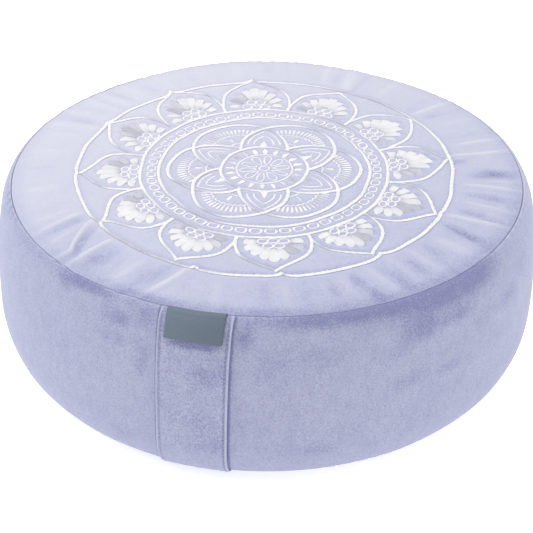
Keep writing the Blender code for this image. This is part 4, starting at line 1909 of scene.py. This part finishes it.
@dataclass
class CarryHandle:
    """Wide strip of two layers lying on the band from seam to seam, its edges turned in."""

    form: CushionForm
    angle: float = -90.0
    lean: float = 1.2
    width: float = 47.5
    thickness: float = 2.4
    edge_thickness: float = 3.0
    end_thickness: float = 1.0
    first_turn: float = 0.05
    taper_turns: float = 0.22
    foot_turns: float = 0.65
    ridge: float = 0.7
    ridge_fall: float = 0.8
    stitch_inset: float = 2.3
    groove: float = 0.5
    edge_round: float = 0.7
    rows: int = 150
    # Deeper than the top panel's, as on the band: painted shade of the side
    resting_nap: float = 0.66
    patch_nap: float = 0.8
    # Painted shade along the topstitching's groove on each side, and a painted highlight on the
    # edge ridges
    stitch_shade_left: float = 0.12
    stitch_shade_right: float = 0.30
    edge_nap: float = 0.30
    # Painted shadow on the band beside the strip's left and right edges
    edge_shadow_left: float = 0.55
    edge_shadow_right: float = 0.40

    def middle_angle(self, turn: Array) -> Array:
        """Angle of the strip's middle line, in radians: it leans a little at the top."""
        return np.radians(self.angle + self.lean * (1.0 - turn / self.form.last_turn))

    def depth(self, inset: Array, turn: Array) -> Array:
        """Thickness at a distance in from the strip's edge.

        A ridge over the turned-in edge, a groove under the topstitching, and a level
        middle, all thinner at the two seams.

        Args:
            inset: The distance in.
            turn: Turn down the band.

        Returns:
            The thickness.
        """
        ridge = 1.0 - ramp((inset - self.ridge) / self.ridge_fall)
        full = self.thickness + ridge * (self.edge_thickness - self.thickness)
        full = full - self.groove * hump(inset - self.stitch_inset, 1.1)
        from_end = np.minimum(
            (turn - self.first_turn) / self.taper_turns,
            (self.form.last_turn - turn) / self.foot_turns,
        )
        return self.end_thickness + ramp(from_end) * (full - self.end_thickness)

    def place(self, share: Array, turn: Array, level: Array) -> Array:
        """Point on the strip.

        Args:
            share: -1 to 1 across it.
            turn: Turn down the band.
            level: 0 on its back and 1 on its face.

        Returns:
            The point on the cushion.
        """
        inset = (1.0 - np.abs(share)) * self.width / 2.0
        out = self.form.gap + level * self.depth(inset, turn)
        radius = self.form.band_section(turn, 0.0)[0]
        angle = self.middle_angle(turn) + share * self.width / 2.0 / radius
        return self.form.band(turn, angle, out)

    def build(self, material: Material) -> Piece:
        """Carry the strip's closed section down the band.

        Args:
            material: The velvet.

        Returns:
            The piece.
        """
        turn = np.linspace(self.first_turn, self.form.last_turn, self.rows)[:, None]
        flat = 1.0 - self.edge_round / (self.width / 2.0)
        bend = np.linspace(0.0, math.pi, 7)
        beyond = flat + (1.0 - flat) * np.sin(bend)
        face = joined([
            np.linspace(-flat, -0.84, 12), np.linspace(-0.78, 0.78, 20),
            np.linspace(0.84, flat, 12),
        ])
        back = np.linspace(flat, -flat, 12)[1:-1]
        share = joined([face, beyond[1:], back, -beyond[:-1]])
        level = joined([
            np.ones(len(face)), 0.5 + 0.5 * np.cos(bend[1:]),
            np.zeros(len(back)), (0.5 - 0.5 * np.cos(bend))[:-1],
        ])
        rings = self.place(share[None, :], turn, level[None, :])
        surface = Surface()
        inset = (1.0 - np.abs(share)) * self.width / 2.0
        # Painted shade along the topstitching and a painted highlight on each edge ridge
        sewn = np.where(share > 0.0, self.stitch_shade_right, self.stitch_shade_left)
        sewn = sewn * hump(inset - self.stitch_inset, 0.9) - self.edge_nap * hump(inset - 0.5, 1.1)
        # Nap patches of the band, with the painted shadow under the label
        patches = patched(WALL_NAP_AND_SHADE, np.arctan2(rings[..., 1], rings[..., 0]), rings[..., 2])
        nap = sewn[None, :] + self.resting_nap + self.patch_nap * patches
        along, across = np.linspace(0.0, 1.0, self.rows), share * 0.5 + 0.5
        surface.add_tube(rings[:, ::-1], along, across[::-1], closed=False)
        surface.marks["nap"] = [nap[:, ::-1].ravel()]
        surface.marks["coarse"] = [np.ones(nap.size)]
        strip = surface.build("carry_handle_strip", material)
        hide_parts("carry_handle")
        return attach(strip, "root")

    def pressed(self, turn: Array, angle: Array) -> Array:
        """Painted shadow on the band close beside the strip's two edges, as a deeper nap.

        Args:
            turn: Turn down the band.
            angle: Angle, in radians.

        Returns:
            The depth.
        """
        off = turned(angle, self.middle_angle(turn)) * self.form.band_section(turn, 0.0)[0]
        # Painted shadow, stronger beside the left edge
        depth = np.where(off < 0.0, self.edge_shadow_left, self.edge_shadow_right)
        return depth * hump(np.abs(off) - self.width / 2.0 - 0.7, 1.5)

    def edge_angles(self) -> Array:
        """Angles, close together, over the stretches where the strip's edges run.

        Returns:
            The angles, in radians.
        """
        half = math.degrees(self.width / 2.0 / self.form.widest_radius)
        reach = np.arange(-1.8, 1.8, 0.12)
        middle = self.angle + 0.6 * self.lean
        return np.radians(joined([middle - half + reach, middle + half + reach]))

    def length(self) -> float:
        """Length of the strip between the seams.

        Returns:
            The length.
        """
        turn = np.linspace(self.first_turn, self.form.last_turn, 400)
        points = self.place(np.zeros(400), turn, np.ones(400))
        return float(np.linalg.norm(np.diff(points, axis=0), axis=1).sum())

    def declare(self, strip: Piece, stitches: Piece) -> None:
        """Work out the finished strip's width and length, and keep neither.

        Args:
            strip: The strip; not used.
            stitches: The topstitching on it; not used.
        """
        self.width * MM
        self.length() * MM


@dataclass
class RibbonLabel:
    """Bare satin ribbon folded into a loop, coming out of the top seam over the handle."""

    form: CushionForm
    handle: CarryHandle
    angle: float = -88.9
    width: float = 38.4
    drop: float = 16.6
    layer: float = 0.5
    layer_gap: float = 0.5
    standoff: float = 2.6
    rise_over_seam: float = 2.0
    route_steps: int = 26
    spacing: float = 0.55
    curl: float = 0.25

    def offsets(self) -> tuple[float, float]:
        """How far the back and the front layer's middle lies off the handle."""
        back = self.layer / 2.0 + 0.2
        return back, back + self.layer + self.layer_gap

    def hang(self, down: Array, off: float) -> Array:
        """Radius and height of a layer at a distance down the handle, further off at its edge.

        Args:
            down: Distance down the handle.
            off: Distance off it.

        Returns:
            The radius and height.
        """
        turn = self.form.turn_at(down, self.handle.first_turn)
        inset = np.full(np.shape(turn), self.handle.width / 2.0)
        off_end = self.standoff * (down / self.drop) ** 2
        away = self.form.gap + self.handle.depth(inset, turn) + off + off_end
        radius, height = self.form.band_section(turn, away)
        return np.stack([radius, height], -1)

    def route(self) -> Array:
        """Radius and height along the ribbon's middle: out of the seam, down, round and up again.

        Returns:
            The points.
        """
        back, front = self.offsets()
        seam, top = self.form.seam_radius, self.form.top_seam_height
        down = np.linspace(2.6, self.drop, self.route_steps)
        outer, inner = self.hang(down, front), self.hang(down, back)
        over = bezier(
            (seam + 0.05, top - 1.2), (seam, top + 1.0 + self.rise_over_seam),
            (outer[0, 0] - 0.7, top + self.rise_over_seam), tuple(outer[0]), count=12,
        )
        under = bezier(
            (seam + 0.15 + self.layer, top - 1.2), (seam + 0.6, top + self.rise_over_seam - 0.2),
            (inner[0, 0] - 0.5, top + 0.4), tuple(inner[0]), count=12,
        )
        middle, spread = 0.5 * (outer[-1] + inner[-1]), 0.5 * (outer[-1] - inner[-1])
        sweep = np.linspace(0.0, math.pi, 9)[1:-1, None]
        bottom = np.array([spread[1], -spread[0]])
        fold = middle + spread * np.cos(sweep) + bottom * np.sin(sweep)
        return joined([over[:-1], outer, fold, inner[::-1], under[-2::-1]])

    def build(self, material: Material) -> Piece:
        """Carry the ribbon's thin rounded section along its route.

        Args:
            material: The satin.

        Returns:
            The piece.
        """
        route = evenly(self.route(), self.spacing, closed=False)
        way = directions(route, closed=False)
        normal = np.stack([-way[:, 1], way[:, 0]], -1)
        share = np.linspace(-1.0, 1.0, 30)
        thick = 0.5 * self.layer * np.sqrt(np.clip(1.0 - np.abs(share) ** 30.0, 0.04, 1.0))
        spots = joined([share, share[::-1]])
        lifts = joined([thick, -thick[::-1]])
        section = route[:, None, :] + normal[:, None, :] * lifts[None, :, None]
        wave = self.curl * np.sin(spots * 2.6 + 0.8)[None, :]
        wave = wave * ramp(np.arange(len(route)) / 12.0)[:, None]
        radius, height = section[..., 0] + wave, section[..., 1]
        angle = math.radians(self.angle) + spots[None, :] * self.width / 2.0 / route[:, :1]
        rings = self.form.settle(radius, angle + 0.0 * radius, height)
        along = np.arange(len(route)) * self.spacing
        surface = Surface()
        surface.add_tube(rings, along, spots * self.width / 2.0, closed=False)
        label = surface.build("ribbon_label", material)
        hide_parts("label")
        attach(label, "root")
        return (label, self.width * MM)[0]


# ---- stitching


@dataclass
class Embroidery:
    """Raised satin stitch on the top cloth."""

    cloth: TopCloth
    tuck: float = 0.22
    root_depth: float = 0.7
    root_half: float = 0.55
    fullness: float = 0.85
    facets: int = 7

    def add(self, surface: Surface, strand: Strand) -> None:
        """Add one strand: a low dome of stitches whose edges go down into the cloth.

        The dome's height is the rise times the sine of the way across it, to the power
        of the fullness.

        Args:
            surface: Where it goes.
            strand: The strand, on the cushion.
        """
        sweep = np.linspace(0.0, math.pi, self.facets)
        across = joined([-np.cos(sweep), [self.root_half, -self.root_half]])
        lift = joined([np.sin(sweep) ** self.fullness, [0.0, 0.0]])
        sunk = joined([np.full(self.facets, self.tuck), [self.root_depth] * 2])
        way = directions(strand.path, strand.closed)
        left = np.stack([-way[:, 1], way[:, 0]], -1)
        half = 0.5 * strand.width[:, None, None]
        flat = strand.path[:, None, :] + left[:, None, :] * across[None, :, None] * half
        base = self.cloth.height(flat[..., 0], flat[..., 1])
        height = base + strand.rise[:, None] * lift[None, :] - sunk[None, :]
        rings = joined([flat, height[..., None]], -1)
        ends = joined([strand.path, strand.path[:1]]) if strand.closed else strand.path
        along = along_of(ends)
        v = joined([0.5 + 0.5 * across[: self.facets], [1.0, 0.0]])
        surface.add_tube(rings, along, v, strand.closed, dull=strand.dull)

    def build(self, groups: Groups, material: Material) -> list[Piece]:
        """Make one piece of each group of strands.

        Args:
            groups: The strands, by piece.
            material: The thread.

        Returns:
            The pieces.
        """
        pieces = []
        for name, strands in groups.items():
            surface = Surface()
            for strand in strands:
                self.add(surface, strand)
            piece = surface.build(name, material)
            pieces.append(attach(piece, "root"))
        return pieces


@dataclass
class StitchRow:
    """A row of single sewing stitches, each a short thread that dips in at both ends."""

    pitch: float = 3.2
    length: float = 2.3
    thread: float = 0.5
    sides: int = 6
    steps: int = 5
    lift: float = 0.30
    dip: float = 0.12

    @staticmethod
    def read(values: Array, along: Array, at: Array) -> Array:
        """Vectors known at distances along a path, read at other distances."""
        return np.stack([np.interp(at, along, values[:, k]) for k in range(3)], -1)

    def add(self, surface: Surface, path: Array, outward: Array) -> None:
        """Lay stitches along a path.

        Args:
            surface: Where they go.
            path: Points on the cloth, shape (n, 3).
            outward: Unit vectors out of the cloth at those points.
        """
        along = along_of(path)
        count = max(1, int(along[-1] / self.pitch))
        at = (np.arange(count) + 0.5) * along[-1] / count
        where, up = self.read(path, along, at), unit(self.read(outward, along, at))
        way = unit(self.read(path, along, at + 0.5) - self.read(path, along, at - 0.5))
        side = np.cross(up, way)
        share = np.linspace(-1.0, 1.0, self.steps)
        sweep = round_the_axis(self.sides)
        arch = self.lift * (1.0 - share**2) - self.dip
        girth = 0.5 * self.thread * np.sqrt(np.clip(1.0 - 0.9 * np.abs(share) ** 3.0, 0.1, 1.0))
        for k in range(count):
            middle = where[k] + share[:, None] * way[k] * self.length / 2.0 + arch[:, None] * up[k]
            around = np.cos(sweep)[:, None] * side[k] + np.sin(sweep)[:, None] * up[k]
            rings = middle[:, None, :] + girth[:, None, None] * around[None, :, :]
            surface.add_tube(rings[:, ::-1], (share + 1.0) * 0.5, sweep[::-1] / FULL_TURN, False)


@dataclass
class Stitching:
    """Topstitching under the top seam and down the handle's two edges."""

    form: CushionForm
    handle: CarryHandle
    seam_drop: float = 3.4

    def offset_path(self, turn: Array, angle: Array, out: Array) -> tuple[Array, Array]:
        """Points on the band and their outward directions."""
        near, far = self.form.band(turn, angle, out), self.form.band(turn, angle, out + 1.0)
        return near, unit(far - near)

    def seam_row(self, material: Material) -> Piece:
        """Stitches on the band just below the top seam, left out under the handle.

        Args:
            material: The thread.

        Returns:
            The piece.
        """
        half = math.degrees(self.handle.width / 2.0 / self.form.seam_radius) + 0.6
        middle = self.handle.angle + self.handle.lean
        angle = np.radians(np.linspace(middle + half, middle + 360.0 - half, 1500))
        turn = np.full(len(angle), float(self.form.turn_at(self.seam_drop, 0.0)))
        path, outward = self.offset_path(turn, angle, 0.0 * turn)
        surface = Surface()
        StitchRow(length=2.0, thread=0.26, lift=0.04).add(surface, path, outward)
        return self.dressed(surface.build("seam_topstitching", material))

    def handle_rows(self, material: Material) -> Piece:
        """Stitches in the groove along both edges of the handle.

        Args:
            material: The thread.

        Returns:
            The piece.
        """
        turn = np.linspace(self.handle.first_turn + 0.02, self.form.last_turn - 0.03, 600)
        surface = Surface()
        for side in (-1.0, 1.0):
            inset = self.handle.stitch_inset / (self.handle.width / 2.0)
            share = np.full(len(turn), side * (1.0 - inset))
            near = self.handle.place(share, turn, np.ones(len(turn)))
            far = self.form.band(turn, np.arctan2(near[:, 1], near[:, 0]), 8.0)
            StitchRow(pitch=3.0, length=2.2, thread=0.55).add(surface, near, unit(far - near))
        return self.dressed(surface.build("handle_topstitching", material))

    @staticmethod
    def dressed(piece: Piece) -> Piece:
        """Attach the piece to the root, so that it rides with it."""
        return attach(piece, "root")


# ---- studio


@dataclass(frozen=True)
class SoftLight:
    """A square soft light that faces the cushion.

    It hangs at an azimuth from +X and an elevation, in degrees. Its distance and side are
    in metres and its power in watts.
    """

    name: str
    azimuth: float
    elevation: float
    distance: float
    size: float
    power: float

    def hang(self) -> None:
        """Add the light to the scene."""
        data = bpy.data.lights.new(self.name, "AREA")
        data.size, data.energy = self.size, self.power
        lamp = bpy.data.objects.new(self.name, data)
        a, e = math.radians(self.azimuth), math.radians(self.elevation)
        towards = Vector((math.cos(a) * math.cos(e), math.sin(a) * math.cos(e), math.sin(e)))
        lamp.location = towards * self.distance + Vector((0.0, 0.0, 0.1))
        lamp.rotation_euler = towards.to_track_quat("Z", "Y").to_euler()
        bpy.context.scene.collection.objects.link(lamp)


LIGHTS = records(
    SoftLight,
    ("key_light", -160.0, 48.0, 1.8, 1.0, 10.9),
    ("fill_light", -8.0, 38.0, 2.3, 2.0, 10.1),
    ("top_light", 80.0, 80.0, 1.9, 1.6, 15.2),
)


@dataclass(frozen=True)
class Studio:
    """Pale floor, soft lights and the camera at the photograph's angle."""

    azimuth: float = 14.25
    elevation: float = 32.80
    distance: float = 1012.46
    aim_height: float = 60.0
    dip: float = 0.745
    roll: float = 0.438
    lens: float = 88.65
    world: float = 0.63
    floor_radius: float = 4.0
    floor_drop: float = 0.2

    def camera(self) -> Piece:
        """Make the camera: on a sphere about the aim, dipped and rolled a little.

        Returns:
            The camera.
        """
        back = math.radians(self.elevation)
        place = Vector((0.0, -math.cos(back), math.sin(back))) * self.distance * MM
        place += Vector((0.0, 0.0, self.aim_height * MM))
        ahead = math.radians(self.elevation + self.dip)
        view = Vector((0.0, math.cos(ahead), -math.sin(ahead)))
        right, up = Vector((1.0, 0.0, 0.0)), Vector((0.0, math.sin(ahead), math.cos(ahead)))
        c, s = math.cos(math.radians(self.roll)), math.sin(math.radians(self.roll))
        right, up = right * c + up * s, up * c - right * s
        axes = Matrix((right, up, -view)).transposed().to_4x4()
        data = bpy.data.cameras.new("photo_camera")
        data.lens = self.lens
        camera = bpy.data.objects.new("photo_camera", data)
        turn = Matrix.Rotation(math.radians(self.azimuth), 4, "Z")
        camera.matrix_world = turn @ Matrix.Translation(place) @ axes
        bpy.context.scene.collection.objects.link(camera)
        bpy.context.scene.camera = camera
        return camera

    def floor(self) -> Piece:
        """Make the floor, a wide disc.

        Returns:
            The floor.
        """
        angle = round_the_axis(64)
        points = np.stack([np.cos(angle), np.sin(angle), 0.0 * angle], -1) * self.floor_radius / MM
        points[:, 2] = -self.floor_drop
        surface = Surface()
        surface.add(points, [(np.arange(64)[None, :], points[None, :, :2] * MM)])
        floor = surface.build("studio_floor", FloorFinish().material())
        return floor

    def build(self) -> None:
        """Make all of it."""
        self.camera()
        self.floor()
        world = bpy.data.worlds.new("studio")
        world.use_nodes = True
        background = world.node_tree.nodes["Background"]
        background.inputs["Color"].default_value = (1.0, 1.0, 1.0, 1.0)
        background.inputs["Strength"].default_value = self.world
        bpy.context.scene.world = world
        for light in LIGHTS:
            light.hang()
        bpy.context.scene.view_settings.view_transform = "Standard"


# ---- all of it


def main() -> None:
    """Load the frame, build every piece on it, and light it."""
    logging.basicConfig(level=logging.INFO, format="%(message)s")
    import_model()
    velvet, thread = VelvetFinish().material(), SewingThreadFinish().material()
    Studio().build()
    groups = Mandala().groups()
    cloth = TopCloth(FORM, groups)
    handle = CarryHandle(FORM)
    SideBand(FORM, handle).build(velvet)
    BottomPanel(FORM).build(velvet)
    top = TopPanel(FORM, cloth)
    panel = top.build(velvet)
    stitched = Embroidery(cloth).build(groups, SatinStitchFinish().material())
    top.declare(panel, stitched)
    strip = handle.build(velvet)
    stitching = Stitching(FORM, handle)
    stitching.seam_row(thread)
    handle.declare(strip, stitching.handle_rows(thread))
    RibbonLabel(FORM, handle).build(RibbonFinish().material())


if __name__ == "__main__":
    main()
